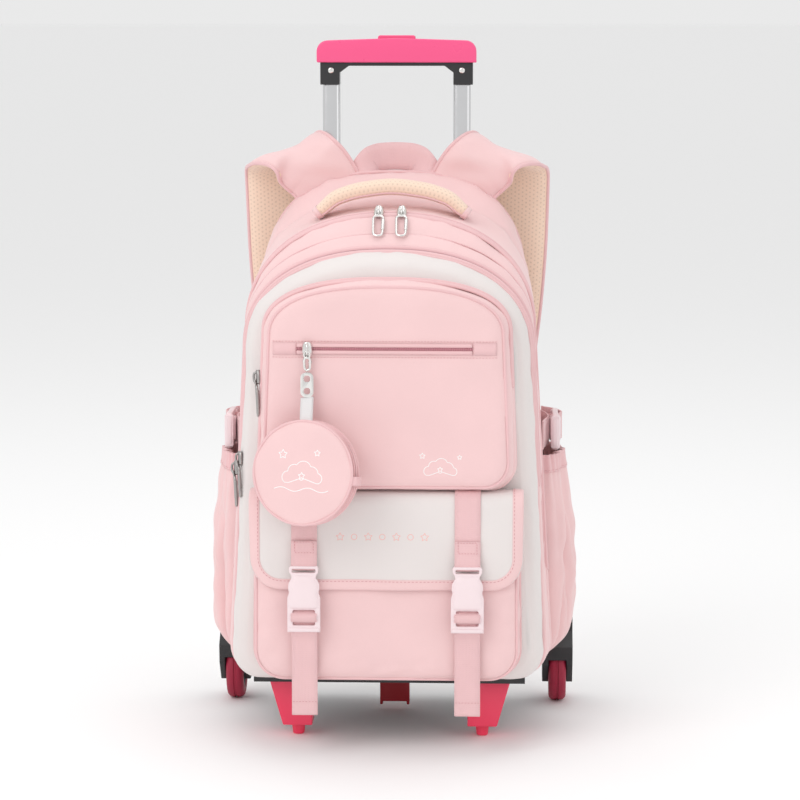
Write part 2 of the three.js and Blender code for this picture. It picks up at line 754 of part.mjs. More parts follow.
function addFlapFastenings() {
  const across = new THREE.Vector3(1, 0, 0);
  const webDepth = flapFace + seat + webThickness / 2;
  const pocketDepth = lowerFace + seat + webThickness / 2;
  const buckleBack = flapFace + 2 * seat + webThickness;
  const webTop = upperPocketBase - seat;
  for (const { name, sign } of sides) {
    const x = sign * buckleSpacing / 2;
    const row = (depth, z) => ({
      at: new THREE.Vector3(x, -depth, z), across, half: flapWebWidth / 2, thick: webThickness,
    });
    const strap = [row(webDepth, webTop), row(webDepth, buckleBase + buckleHeight * buckleBar)];
    place(model, `flap_strap_${name}`, band(strap, false), pinkWebbing());
    const buckle = place(model, `flap_buckle_${name}`,
      frontPlate(buckleOutline(), -buckleThickness, buckleThickness, 1), palePlastic());
    buckle.position.set(x, -buckleBack, buckleBase);
    const outDepth = buckleBack + webThickness;
    const fold = buckleBase - seat - webThickness;
    const tail = [
      row(pocketDepth, lowerPocketBase + lowerPocketHeight * tailRoot),
      row(pocketDepth, fold - 2 * webThickness),
      row(pocketDepth + webThickness, fold),
      row(outDepth - webThickness, fold),
      row(outDepth, fold - 2 * webThickness),
      row(outDepth, tailEnd),
    ];
    place(model, `flap_tail_${name}`, band(tail, false), pinkWebbing());
  }
}

// Side pockets: a gathered cup with its own thin back, open at the top
function sidePocketRing(z, bulge, spread, grow, sign) {
  const arcSteps = 9;
  const backSteps = 4;
  const centre = (sidePocketBack + sidePocketFront) / 2;
  const reach = ((sidePocketFront - sidePocketBack) / 2) * spread;
  const side = (depth) => halfWidthAt(bagOutline(depth), z) + sidePocketGap - Math.min(grow, 0);
  const points = [];
  for (let i = 0; i <= arcSteps; i += 1) {
    const angle = Math.PI * (i / arcSteps);
    const depth = centre - (reach + grow) * Math.cos(angle);
    const out = Math.sin(angle) ** sidePocketRoundness * (sidePocketReach * bulge + 2 * grow);
    points.push([side(depth) + Math.max(out, sidePocketLip), depth]);
  }
  for (let i = 1; i < backSteps; i += 1) {
    const depth = centre + (reach + grow) * (1 - (2 * i) / backSteps);
    points.push([side(depth), depth]);
  }
  return points.map(([x, depth]) => new THREE.Vector3(sign * x, -depth, z));
}

function addSidePockets() {
  for (const { name, sign } of sides) {
    const at = (row, grow, lift = 0) => sidePocketRing(
      sidePocketBase + sidePocketHeight * row.rise + lift, row.bulge, row.spread, grow, sign);
    const inside = sidePocketRows.map((row, i) => at(row, -wall, i === 0 ? wall : 0));
    const outside = sidePocketRows.map((row) => at(row, 0)).reverse();
    place(model, `side_pocket_${name}`, skin([...inside, ...outside]), pinkCloth());
  }
}

// Shoulder straps, their lower webbing and adjusters
function strapPoint(row, sign) {
  const z = bagBase + row.up * bagHeight;
  return new THREE.Vector3(sign * row.side * halfBag, row.back * strapReach, z);
}

function addShoulderStraps() {
  for (const { name, sign } of sides) {
    const padded = strapRows.map((row) => {
      const angle = THREE.MathUtils.degToRad(row.turn);
      return {
        at: strapPoint(row, sign),
        across: new THREE.Vector3(sign * Math.cos(angle), 0, -Math.sin(angle)),
        half: (strapWidth / 2) * row.wide,
        thick: strapPad * row.pad,
      };
    });
    place(model, `shoulder_strap_${name}`, band(smoothRows(padded, strapSteps), true), pinkCloth());
    const web = strapWebRows.map((row) => ({
      at: strapPoint(row, sign),
      across: new THREE.Vector3(sign, 0, 0),
      half: webWidth / 2,
      thick: webThickness,
    }));
    place(model, `strap_webbing_${name}`, band(smoothRows(web, webSteps), false), pinkWebbing());
  }
}

// Carry handle and hang loop
function arch(rows) {
  const right = rows.slice(0, -1).reverse().map((row) => ({ ...row, along: -row.along }));
  return [...rows, ...right];
}

function addHandles() {
  const across = new THREE.Vector3(0, 1, 0);
  const reach = carryWidth / 2;
  const foot = Math.max(...[-reach, reach].map((shift) => (
    topAt(bagOutline(carryPlace + shift), carrySpan / 2))));
  const low = foot + seat + (carryPad / 5) * carryRows[0].pad;
  const carry = arch(carryRows).map((row) => ({
    at: new THREE.Vector3(row.along * carrySpan / 2, -carryPlace, low + carryRise * row.rise),
    across,
    half: reach * row.wide,
    thick: carryPad * row.pad,
  }));
  place(model, 'carry_handle', band(smoothRows(carry, carrySteps), true), peachMesh());
  const base = topAt(bagOutline(loopReach - loopBand / 2), loopSpan / 2) + seat + webThickness / 2;
  const loop = arch(loopRows).map((row) => {
    const tip = THREE.MathUtils.degToRad(row.tip);
    return {
      at: new THREE.Vector3(row.along * loopSpan / 2, -loopReach + loopReach * row.lean,
        base + loopRise * row.rise),
      across: new THREE.Vector3(0, Math.cos(tip), Math.sin(tip)),
      half: loopBand / 2,
      thick: webThickness,
    };
  });
  place(model, 'hang_loop', band(smoothRows(loop, loopSteps), false), pinkWebbing());
}

// Ladder-lock adjusters at the straps' lower ends, and the side fastenings above the side pockets
function windowPlate(width, height, windows) {
  const shape = roundedRect(width, height, height * 0.12);
  windows.forEach((z) => {
    shape.holes.push(roundedRect(width * 0.74, height * 0.16, height * 0.05, new THREE.Path(), 0, z));
  });
  return shape;
}

function addAdjusters() {
  const rows = strapWebRows.slice(0, 2);
  for (const { name, sign } of sides) {
    const [top, low] = rows.map((row) => strapPoint(row, sign));
    const slant = Math.atan2(low.y - top.y, top.z - low.z);
    const shape = windowPlate(adjusterWidth, adjusterHeight, [-0.2 * adjusterHeight, 0.2 * adjusterHeight]);
    const lift = webThickness / 2 + seat;
    const mesh = place(model, `strap_adjuster_${name}`,
      frontPlate(shape, lift, adjusterThickness, 1), palePlastic());
    mesh.position.copy(top.lerp(low, 0.5));
    mesh.rotation.x = slant;
  }
}

function addSideFastenings() {
  const steps = 6;
  const buckleDepth = (sidePocketBack + sidePocketFront) / 2;
  const windows = [-0.3, -0.12, 0.36].map((share) => share * sideBuckleLength);
  const shape = windowPlate(sideBuckleHeight, sideBuckleLength, windows);
  for (const { name, sign } of sides) {
    const out = (depth, lift) => halfWidthAt(bagOutline(depth), sideBucklePlace) + lift;
    const rows = Array.from({ length: steps + 1 }, (_, i) => {
      const depth = backPad + (mainFront - zipWidth - backPad) * (i / steps);
      return {
        at: new THREE.Vector3(sign * out(depth, seat + webThickness), -depth, sideBucklePlace),
        across: new THREE.Vector3(0, 0, 1),
        half: webWidth / 2,
        thick: webThickness,
      };
    });
    place(model, `side_strap_${name}`, band(rows, false), pinkWebbing());
    const plate = frontPlate(shape, -sideBuckleThickness, sideBuckleThickness, 1);
    plate.rotateX(Math.PI / 2);
    plate.rotateY(Math.PI / 2);
    plate.rotateZ(sign > 0 ? Math.PI : 0);
    const mesh = place(model, `side_buckle_${name}`, plate, palePlastic());
    mesh.position.set(sign * out(buckleDepth, 2 * (seat + webThickness)), -buckleDepth, sideBucklePlace);
  }
}

// Coin purse: a round flat case with an open zip mouth over its top, its tab and its clasp
function disc(radius, depth, edge, segments) {
  const half = depth / 2;
  const profile = [
    [0, -half], [radius - edge, -half], [radius, -half + edge], [radius, half - edge],
    [radius - edge, half], [0, half],
  ];
  return solidOf(new THREE.LatheGeometry(profile.map(([x, y]) => new THREE.Vector2(x, y)), segments));
}

function addPurse() {
  const reach = purseRadius * 2;
  const mouth = disc(purseRadius + 1, purseMouth, purseMouth / 4, purseSides)
    .subtract(block([-reach, -purseDepth, -reach], [reach, purseDepth, purseMouthFloor]));
  const shell = disc(purseRadius, purseDepth, purseEdge, purseSides)
    .subtract(disc(purseRadius - wall, purseDepth - 2 * wall, purseEdge, purseSides))
    .subtract(mouth);
  const mesh = place(model, 'purse', geometryOf(shell), pinkCloth());
  const turn = THREE.MathUtils.degToRad(purseTurn);
  const tilt = THREE.MathUtils.degToRad(purseTilt);
  const front = upperFace + 2 * seat + zipHeight;
  const swing = purseRadius * Math.sin(turn) + (purseDepth / 2) * Math.cos(turn);
  const depth = front + seat + swing;
  mesh.rotation.set(-tilt, 0, -turn, 'ZXY');
  mesh.position.set(purseX, -depth, purseZ);

  const hang = front + pullerLift + pullerThickness / 2;
  const claspTop = weltZipZ - sliderLength / 2 - weltPullerLength + pullerWidth * pullerTuck - seat;
  const shape = roundedRect(claspWidth, claspLength, claspWidth * 0.4);
  for (const share of [-0.25, 0.25]) {
    shape.holes.push(roundedRect(claspWidth * 0.5, claspLength * 0.26, claspWidth * 0.2,
      new THREE.Path(), 0, claspLength * share));
  }
  const clasp = place(model, 'purse_clasp', frontPlate(shape, -claspThickness / 2, claspThickness, 2),
    castMetal());
  clasp.position.set(purseX, -hang, claspTop - claspLength / 2);

  const across = new THREE.Vector3(Math.cos(turn), -Math.sin(turn), 0);
  const tabThickness = 2 * webThickness;
  const tabRow = (y, z) => ({
    at: new THREE.Vector3(purseX, y, z), across, half: purseTabWidth / 2, thick: tabThickness,
  });
  const crownLean = purseRadius * Math.sin(tilt);
  const tabTop = claspTop - claspLength - seat - tabThickness / 3;
  const tabFoot = purseZ + purseRadius * Math.cos(tilt) + seat + tabThickness / 3;
  const tab = [tabRow(-hang, tabTop), tabRow(crownLean - depth, tabFoot)];
  place(model, 'purse_strap', band(tab, false), greyWebbing());
}

// Telescopic handle
function tubeSection(width, depth) {
  return roundedRect(width, depth, depth * tubeRound);
}

function tube(width, depth, low, high) {
  const shape = tubeSection(width, depth);
  const bore = roundedRect(width - 2 * tubeWall, depth - 2 * tubeWall,
    depth * tubeRound - tubeWall, new THREE.Path());
  shape.holes.push(bore);
  const geometry = extrude(shape, high - low, 2);
  geometry.translate(0, 0, low);
  return geometry;
}

function fullTube(width, depth, grow, low, high) {
  const geometry = extrude(tubeSection(width + 2 * grow, depth + 2 * grow), high - low, 2);
  geometry.translate(0, 0, low);
  return solidOf(geometry);
}

const middleTubeFoot = outerTubeTop + seat - middleTubeLength;
const innerTubeTop = gripBottom + gripInset - seat;

function addTubes() {
  for (const { name, sign } of sides) {
    const x = sign * tubeX;
    const outer = place(model, `outer_tube_${name}`,
      tube(outerTubeWidth, outerTubeDepth, outerTubeFoot, outerTubeTop), steel());
    outer.position.set(x, tubeY, 0);
    const collarBase = outerTubeTop + seat;
    const bore = fullTube(middleTubeWidth, middleTubeDepth, -tubeWall, 0, gripTop);
    const stem = fullTube(middleTubeWidth, middleTubeDepth, 0, middleTubeFoot, collarBase + 1);
    const collar = fullTube(outerTubeWidth, outerTubeDepth, 0, collarBase, collarBase + collarHeight);
    const stage = place(model, `middle_tube_${name}`, geometryOf(stem.add(collar).subtract(bore)), steel());
    stage.position.set(x, tubeY, 0);
    const inner = place(model, `inner_tube_${name}`,
      tube(innerTubeWidth, innerTubeDepth, innerTubeTop - innerTubeLength, innerTubeTop), steel());
    inner.position.set(x, tubeY, 0);
  }
}

const gripBarTop = gripTop - coverWall - gripCrown;

function gripShape(grow) {
  const half = gripWidth / 2 - coverWall;
  const barBase = gripBottom + gripInset - gripBarDrop;
  const inner = half - gripLeg + 2 * coverWall;
  const right = [
    [half + grow, gripBottom - grow],
    [half + grow, gripBarTop - gripChamfer + grow],
    [half - gripChamfer, gripBarTop + grow],
  ];
  const under = [
    [inner - gripKnee, barBase - grow],
    [inner - grow, barBase - gripChamfer - grow],
    [inner - grow, gripBottom - grow],
  ];
  const rightSide = [...under, ...right];
  const leftSide = rightSide.map(([x, z]) => [-x, z]).reverse();
  return new THREE.Shape([...rightSide, ...leftSide].map(([x, z]) => new THREE.Vector2(x, z)));
}

function addGrip() {
  const bodyDepth = gripDepth - 2 * coverWall;
  const y0 = tubeY - bodyDepth / 2;
  let body = solidOf(frontPlate(gripShape(0), y0, bodyDepth));
  for (const { sign } of sides) {
    const bore = fullTube(innerTubeWidth, innerTubeDepth, seat, gripBottom - 1, gripBottom + gripInset)
      .translate(sign * tubeX, tubeY, 0);
    body = body.subtract(bore);
  }
  place(model, 'grip', geometryOf(body), blackPlastic());

  const half = gripWidth / 2;
  const base = gripBottom + gripInset;
  const corner = gripTop - coverCrown - coverCorner;
  const shape = new THREE.Shape();
  shape.moveTo(-half, base);
  shape.lineTo(half, base);
  shape.lineTo(half, corner);
  shape.absarc(half - coverCorner, corner, coverCorner, 0, Math.PI / 2, false);
  shape.lineTo(0, gripTop);
  shape.lineTo(-half + coverCorner, gripTop - coverCrown);
  shape.absarc(-half + coverCorner, corner, coverCorner, Math.PI / 2, Math.PI, false);
  shape.closePath();
  const cover = solidOf(frontPlate(shape, tubeY - gripDepth / 2, gripDepth, 3))
    .subtract(solidOf(frontPlate(gripShape(seat), y0 - seat, bodyDepth + 2 * seat)))
    .subtract(block([-buttonWidth / 2 - running, tubeY - buttonDepth / 2 - running, base],
      [buttonWidth / 2 + running, tubeY + buttonDepth / 2 + running, gripTop + 1]));
  place(model, 'grip_cover', geometryOf(cover), hotPinkPlastic());

  const buttonBase = gripBarTop + buttonTravel + seat;
  const buttonTop = gripTop + buttonProud;
  const button = roundedRect(buttonWidth, buttonTop - buttonBase, buttonRound, new THREE.Shape(), 0,
    (buttonTop + buttonBase) / 2);
  place(model, 'grip_button', frontPlate(button, tubeY - buttonDepth / 2, buttonDepth, 2),
    hotPinkPlastic());
}

// Trolley base: the tray with its sockets, the bar that holds the tubes, and the feet
function addTray() {
  const half = trayWidth / 2;
  const trayBase = trayTop - trayThickness;
  const tubeBack = tubeY + outerTubeDepth / 2;
  const tubeHalf = outerTubeWidth / 2;
  const uprightTop = trayTop + trayUpright;
  let tray = block([-half, -trayFront, trayBase], [half, tubeBack, trayTop])
    .add(block([-trayUprightWidth / 2, seat, trayBase],
      [trayUprightWidth / 2, tubeY - outerTubeDepth / 2, uprightTop]));
  let bar = block([-tubeX - tubeHalf - bracketWall, seat, outerTubeTop - bracketHeight - bracketWall],
    [tubeX + tubeHalf + bracketWall, tubeBack + bracketWall, outerTubeTop - bracketWall]);
  const tubeRoom = (low) => fullTube(outerTubeWidth, outerTubeDepth, seat, low, gripTop);
  for (const { sign } of sides) {
    const x = sign * tubeX;
    tray = tray
      .add(block([x - tubeHalf - socketWall, seat, trayBase],
        [x + tubeHalf + socketWall, tubeBack + socketWall, uprightTop]));
    bar = bar.subtract(tubeRoom(0).translate(x, tubeY, 0));
  }
  for (const { sign } of sides) {
    tray = tray.subtract(tubeRoom(outerTubeFoot - seat).translate(sign * tubeX, tubeY, 0));
  }
  place(model, 'base_tray', geometryOf(tray), blackPlastic());
  place(model, 'top_bracket', geometryOf(bar), blackPlastic());
}

function addFeet() {
  const footTop = trayTop - trayThickness - seat;
  for (const { name, sign } of sides) {
    const inner = -sign * footWidth / 2;
    const section = [
      [inner, footBlockBase], [-inner, footBlockBase], [inner + sign * footTopWidth, footTop],
      [inner, footTop],
    ];
    const shape = new THREE.Shape(section.map(([x, z]) => new THREE.Vector2(x, z)));
    const tip = new THREE.CylinderGeometry(footTipRadius, footTipRadius * 0.8, footBlockBase + 1, 12);
    tip.rotateX(Math.PI / 2);
    tip.translate(0, 0, (footBlockBase + 1) / 2);
    const foot = solidOf(frontPlate(shape, -footDepth / 2, footDepth)).add(solidOf(tip));
    const mesh = place(model, `front_foot_${name}`, geometryOf(foot), footPlastic());
    mesh.position.set(sign * footSpacing / 2, -footY, 0);
  }

  const half = centreFootWidth / 2;
  const reach = centreFootDepth / 2;
  const bracket = block([-half, -reach, centreFootClear + centreFootWeb], [half, reach, footTop])
    .add(block([-half, -reach, centreFootClear], [-half + centreFootLeg, reach, footTop]))
    .add(block([half - centreFootLeg, -reach, centreFootClear], [half, reach, footTop]));
  const centre = place(model, 'centre_foot', geometryOf(bracket), darkRedPlastic());
  centre.position.y = -centreFootY;
}

// Wheel forks with their mudguards, tyres, and hubs with their axle pins
const halfTrack = wheelTrack / 2;
const wheelGap = wheelWidth / 2 + running;

function forkSolid() {
  const inner = halfTrack - wheelGap - forkArm;
  const outer = halfTrack + wheelGap + forkArm;
  const guard = wheelRadius + mudguardGap;
  const profile = forkProfile.map(([y, z]) => (
    new THREE.Vector2(wheelY + y * wheelRadius, wheelRadius + z * wheelRadius)));
  const geometry = extrude(new THREE.Shape(profile), outer - inner, 2);
  geometry.rotateX(Math.PI / 2);
  geometry.rotateZ(Math.PI / 2);
  geometry.translate(inner, 0, 0);
  const wellRadius = guard - wellCut;
  const well = roundAlongX(wellRadius, halfTrack - wheelGap, halfTrack + wheelGap, wheelY, wheelRadius, 20);
  const bore = roundAlongX(axleRadius + running, inner - 1, outer + 1, wheelY, wheelRadius, 12);
  const mouth = block([halfTrack - wheelGap, wheelY - guard, -1],
    [halfTrack + wheelGap, wheelY + guard, wheelRadius]);
  const bridge = block([trayWidth / 2 + seat, bridgeBack, trayTop - trayThickness],
    [inner + 1, wheelY + forkBridge, trayTop + forkBridge]);
  return solidOf(geometry).subtract(well).subtract(mouth).subtract(bore).add(bridge);
}

function turned(profile) {
  const points = profile.map(([radius, along]) => new THREE.Vector2(radius, along));
  const geometry = new THREE.LatheGeometry(points, wheelSides);
  geometry.rotateZ(Math.PI / 2);
  return geometryOf(solidOf(geometry));
}

function addWheels() {
  const half = wheelWidth / 2;
  const shoulder = wheelRadius - treadRound;
  const tread = [
    [hubRadius, -half], [shoulder, -half], [wheelRadius, -half / 2], [wheelRadius, half / 2],
    [shoulder, half], [hubRadius, half], [hubRadius, -half],
  ];
  const pin = half + running + forkArm;
  const inset = half - hubInset;
  const core = [
    [0, -pin], [axleRadius, -pin], [axleRadius, -inset], [hubRadius - seat, -inset],
    [hubRadius - seat, inset], [axleRadius, inset], [axleRadius, pin], [0, pin],
  ];
  const fork = forkSolid();
  for (const { name, sign } of sides) {
    const housing = sign < 0 ? fork.mirror([1, 0, 0]) : fork;
    place(model, `wheel_housing_${name}`, geometryOf(housing), blackPlastic());
    const tyre = place(model, `tyre_${name}`, turned(tread), crimsonRubber());
    const hub = place(model, `hub_${name}`, turned(core), blackPlastic());
    tyre.position.set(sign * halfTrack, wheelY, wheelRadius);
    hub.position.copy(tyre.position);
  }
}

addCompartments();
addBackPanel();
addPockets();
addZips();
addPullers();
addFlap();
addFlapFastenings();
addSidePockets();
addShoulderStraps();
addAdjusters();
addSideFastenings();
addHandles();
addPurse();
addTubes();
addGrip();
addTray();
addFeet();
addWheels();

const bounds = new THREE.Box3().setFromObject(model, true);
const middle = bounds.getCenter(new THREE.Vector3());
model.position.set(-middle.x, -middle.y, 0);

export default model;
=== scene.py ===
# A child's wheeled backpack in pale pink nylon, standing on its trolley with the handle drawn a
# little. Metres, +Z up, the bag's front faces -Y. Sections follow the bag as it is put together.
import math

import bmesh
import bpy
import numpy as np
from mathutils import Matrix, Vector
from mathutils.bvhtree import BVHTree


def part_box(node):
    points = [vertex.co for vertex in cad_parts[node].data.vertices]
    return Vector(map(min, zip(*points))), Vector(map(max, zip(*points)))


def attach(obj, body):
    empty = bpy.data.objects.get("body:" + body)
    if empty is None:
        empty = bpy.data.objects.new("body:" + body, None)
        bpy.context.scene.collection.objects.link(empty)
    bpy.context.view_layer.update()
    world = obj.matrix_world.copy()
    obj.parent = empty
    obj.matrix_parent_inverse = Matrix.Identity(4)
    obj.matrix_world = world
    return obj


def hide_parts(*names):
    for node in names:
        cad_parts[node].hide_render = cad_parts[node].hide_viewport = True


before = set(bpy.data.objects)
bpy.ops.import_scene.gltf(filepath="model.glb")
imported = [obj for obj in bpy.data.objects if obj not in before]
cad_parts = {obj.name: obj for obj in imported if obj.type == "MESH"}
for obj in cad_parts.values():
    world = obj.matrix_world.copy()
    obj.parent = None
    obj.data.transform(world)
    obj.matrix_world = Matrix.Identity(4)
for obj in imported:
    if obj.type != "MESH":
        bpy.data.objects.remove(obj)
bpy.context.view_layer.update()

# Main compartment
# The largest room, next to the wearer's back: coated nylon over thin foam, cut as a back and a long
# gusset and sewn inside out. The foam holds its shape, and its cloth puckers a little at the seams.
mm = 0.001
back_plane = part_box("back_panel")[1].y
bag_half, bag_base, bag_height, bag_depth = 141.0, 60.3, 434.0, 216.0
# Outline rows: depth, half-width high and low, foot, top, shoulder, bend of the top, corner. They are
# shares of the bag's depth, half width and height.
bag_rows = [
    (0.000, 0.823, 0.950, 0.004, 1.000, 0.748, 2.60, 0.17),
    (0.066, 0.840, 0.960, 0.000, 0.998, 0.745, 2.60, 0.17),
    (0.210, 0.872, 0.988, 0.000, 0.954, 0.725, 2.40, 0.17),
    (0.370, 0.887, 1.000, 0.000, 0.931, 0.710, 2.30, 0.17),
    (0.555, 0.887, 1.000, 0.002, 0.924, 0.695, 2.20, 0.17),
    (0.640, 0.898, 0.998, 0.004, 0.890, 0.680, 2.25, 0.17),
    (0.722, 0.879, 0.972, 0.006, 0.858, 0.656, 2.30, 0.16),
    (0.787, 0.862, 0.955, 0.004, 0.846, 0.650, 2.30, 0.15),
    (0.833, 0.830, 0.925, 0.007, 0.828, 0.645, 2.30, 0.14),
    (0.852, 0.770, 0.865, 0.024, 0.800, 0.640, 2.40, 0.13),
]
main_back, main_zip_depth, middle_zip_depth = 14.3, 120.0, 156.0
gusset_seam_depth = 138.0
around = 340


class Shade:
    """A node's output, or the bare tree. Arithmetic on it adds Math nodes."""

    def __init__(self, tree, socket=None):
        self.tree, self.socket = tree, socket

    def node(self, kind, settings=None, values=None, output=0):
        """Adds a node: its settings first, then the values or links of its sockets."""
        made = self.tree.nodes.new(kind)
        for name, value in (settings or {}).items():
            if name == "stops":
                for stop, (place, colour) in zip(made.color_ramp.elements, value):
                    stop.position, stop.color = place, (*colour, 1)
            else:
                setattr(made, name, value)
        for key, value in (values or {}).items():
            if isinstance(value, Shade):
                self.tree.links.new(value.socket, made.inputs[key])
            else:
                made.inputs[key].default_value = value
        return Shade(self.tree, made.outputs[output])

    def maths(self, operation, *values):
        return self.node("ShaderNodeMath", {"operation": operation}, dict(enumerate(values)))

    def __add__(self, other):
        return self.maths("ADD", self, other)

    def __sub__(self, other):
        return self.maths("SUBTRACT", self, other)

    def __rsub__(self, other):
        return self.maths("SUBTRACT", other, self)

    def __mul__(self, other):
        return self.maths("MULTIPLY", self, other)

    __radd__, __rmul__ = __add__, __mul__

    def sin(self):
        return self.maths("SINE", self)

    def split(self):
        """The three parts of a vector."""
        return [self.node("ShaderNodeSeparateXYZ", None, {0: self}, part) for part in range(3)]

    def mix(self, low, high):
        """A colour between two, with this value as the share of the second."""
        colours = {0: self, 6: low, 7: high}
        return self.node("ShaderNodeMix", {"data_type": "RGBA"}, colours, 2)

    def noise(self, place, scale, detail=3.0):
        return self.node("ShaderNodeTexNoise", None,
                         {"Vector": place, "Scale": scale, "Detail": detail}, "Fac")


def finish(name, colour, roughness, **constants):
    """A new material with its constants set on its shader. Gives it and the start of its tree."""
    made = bpy.data.materials.new(name)
    made.use_nodes = True
    shader = made.node_tree.nodes["Principled BSDF"]
    shader.inputs["Base Color"].default_value = (*colour, 1)
    shader.inputs["Roughness"].default_value = roughness
    for socket, value in constants.items():
        shader.inputs[socket.replace("_", " ")].default_value = value
    return made, Shade(made.node_tree), shader


def feed(shader, socket, value):
    shader.id_data.links.new(value.socket, shader.inputs[socket])


def cloth(name, colour, thread=0.5, lift=0.12, roughness=0.58, blotch=0.05, sheen=0.3):
    """Coated woven cloth: fine crossed threads, a faint unevenness of dye and a soft sheen."""
    made, start, shader = finish(name, colour, roughness, Sheen_Weight=sheen, Sheen_Roughness=0.4,
                                 Specular_IOR_Level=0.35)
    place = start.node("ShaderNodeTexCoord", output="Object")
    across, deep, high = place.split()
    turn = 2 * math.pi / (thread * mm)
    threads = (across * turn).sin() + (deep * turn).sin() + (high * turn).sin()
    tone = start.noise(place, 26.0)
    slub = start.noise(place, 900.0, 2.0)
    low = tuple(c * (1 - 2.2 * blotch) for c in colour)
    feed(shader, "Base Color", (tone * 0.7 + slub * 0.3).mix((*low, 1), (*colour, 1)))
    feed(shader, "Roughness", tone * 0.14 + (roughness - 0.07))
    height = threads * 0.16 + slub * 0.5
    bump = start.node("ShaderNodeBump", None,
                      {"Strength": lift, "Distance": 0.2 * mm, "Height": height})
    feed(shader, "Normal", bump)
    return made


def eased(rows, at):
    """Smooth values between the rows of a table whose first column is the place."""
    rows = np.array(rows, float)
    place, values = rows[:, 0], rows[:, 1:]
    step = np.diff(place)[:, None]
    slope = np.diff(values, axis=0) / step
    before, after = slope[:-1], slope[1:]
    total = np.where(before * after > 0, before + after, 1.0)
    inner = np.where(before * after > 0, 2 * before * after / total, 0.0)
    tangent = np.vstack([slope[:1], inner, slope[-1:]])
    i = int(np.clip(np.searchsorted(place, at) - 1, 0, len(step) - 1))
    t = (at - place[i]) / step[i, 0]
    h = step[i]
    return ((1 + 2 * t) * (1 - t) ** 2 * values[i] + t * (1 - t) ** 2 * h * tangent[i]
            + t * t * (3 - 2 * t) * values[i + 1] + t * t * (t - 1) * h * tangent[i + 1])


def evened(line, count, closed=True):
    """The same line with evenly spaced points."""
    line = np.vstack([line, line[:1]]) if closed else np.asarray(line, float)
    run = np.concatenate([[0], np.cumsum(np.linalg.norm(np.diff(line, axis=0), axis=1))])
    at = np.linspace(0, run[-1], count, endpoint=not closed)
    return np.stack([np.interp(at, run, line[:, k]) for k in range(line.shape[1])], 1)


def outline(shares, half, base, height, count=around):
    """A panel's closed outline as (across, high) in millimetres, anticlockwise from bottom middle."""
    high, low, foot, top, shoulder, bend, corner = shares
    high, low, corner = high * half, low * half, corner * half
    foot, top, shoulder = (base + share * height for share in (foot, top, shoulder))
    turn = np.linspace(-math.pi / 2, 0, 14)
    rise = np.linspace(0, math.pi / 2, 70)
    lower = np.stack([low - corner + corner * np.cos(turn), foot + corner + corner * np.sin(turn)], 1)
    upper = np.stack([high * np.abs(np.cos(rise)) ** (2 / bend),
                      shoulder + (top - shoulder) * np.sin(rise) ** (2 / bend)], 1)
    right = np.vstack([[[0, foot]], lower, upper[:-1], [[0, top]]])
    line = evened(np.vstack([right, (right[1:-1] * (-1, 1))[::-1]]), count)
    for _ in range(3):
        line = (np.roll(line, 1, 0) + 2 * line + np.roll(line, -1, 0)) / 4
    return line


def bag_outline(depth, count=around):
    return outline(eased(bag_rows, depth / bag_depth), bag_half, bag_base, bag_height, count)


def outward(line):
    """Outward unit normals of a closed anticlockwise line."""
    along = np.roll(line, -1, 0) - np.roll(line, 1, 0)
    normal = np.stack([along[:, 1], -along[:, 0]], 1)
    return normal / np.linalg.norm(normal, axis=1, keepdims=True)


def ring(line, depth, grow=0.0):
    """An outline at a depth, grown outwards, as points (across, depth, high)."""
    line = line + outward(line) * np.reshape(grow, (-1, 1))
    return np.stack([line[:, 0], np.full(len(line), float(depth)), line[:, 1]], 1)


def rumple(points, wave, seed):
    """A smooth random height at each point, with its creases about one wave apart."""
    draw = np.random.default_rng(seed)
    facing = draw.normal(size=(16, points.shape[-1]))
    facing /= np.linalg.norm(facing, axis=1, keepdims=True)
    pitch = 2 * math.pi / (wave * draw.uniform(0.75, 1.6, 16))
    phase = draw.uniform(0, 2 * math.pi, 16)
    return np.sin(points @ (facing * pitch[:, None]).T + phase).sum(-1) / math.sqrt(8)


def placed(points):
    """Points (across, depth, high) of the bag in millimetres, put in the row's frame in metres."""
    points = np.asarray(points, float)
    return np.stack([points[..., 0] * mm, back_plane - points[..., 1] * mm, points[..., 2] * mm], -1)


def built(name, points, faces, material, uv=None):
    """A mesh object from points in metres, with its doubles merged and its faces turned outwards."""
    mesh = bpy.data.meshes.new(name)
    mesh.from_pydata([tuple(p) for p in points], [], faces)
    if uv is not None:
        layer = mesh.uv_layers.new(name="cloth")
        layer.data.foreach_set("uv", np.asarray(uv, float).ravel())
    bm = bmesh.new()
    bm.from_mesh(mesh)
    bmesh.ops.remove_doubles(bm, verts=bm.verts, dist=1e-6)
    bmesh.ops.recalc_face_normals(bm, faces=bm.faces)
    for face in bm.faces:
        face.smooth = True
    bm.to_mesh(mesh)
    bm.free()
    mesh.materials.append(material)
    obj = bpy.data.objects.new(name, mesh)
    bpy.context.collection.objects.link(obj)
    return obj


def skinned(name, rows, material, wrap=True, ends=True, run=None):
    """Skins rows of points (across, depth, high). run = (across, along) in millimetres is the cloth's
    own measure at each column and row, for patterns that follow it."""
    rows = np.asarray(rows, float)
    height, width = rows.shape[:2]
    faces, uv = [], []
    for r in range(height - 1):
        for c in range(width if wrap else width - 1):
            a, b = r * width + c, r * width + (c + 1) % width
            faces.append((a, b, b + width, a + width))
            if run is not None:
                u, v = run
                uv += [(u[c], v[r]), (u[c + 1], v[r]), (u[c + 1], v[r + 1]), (u[c], v[r + 1])]
    if ends and wrap:
        for row in (0, height - 1):
            faces.append(tuple(range(row * width, row * width + width)))
            if run is not None:
                uv += [(run[0][c], run[1][row]) for c in range(width)]
    return built(name, placed(rows).reshape(-1, 3), faces, material, None if run is None else uv)


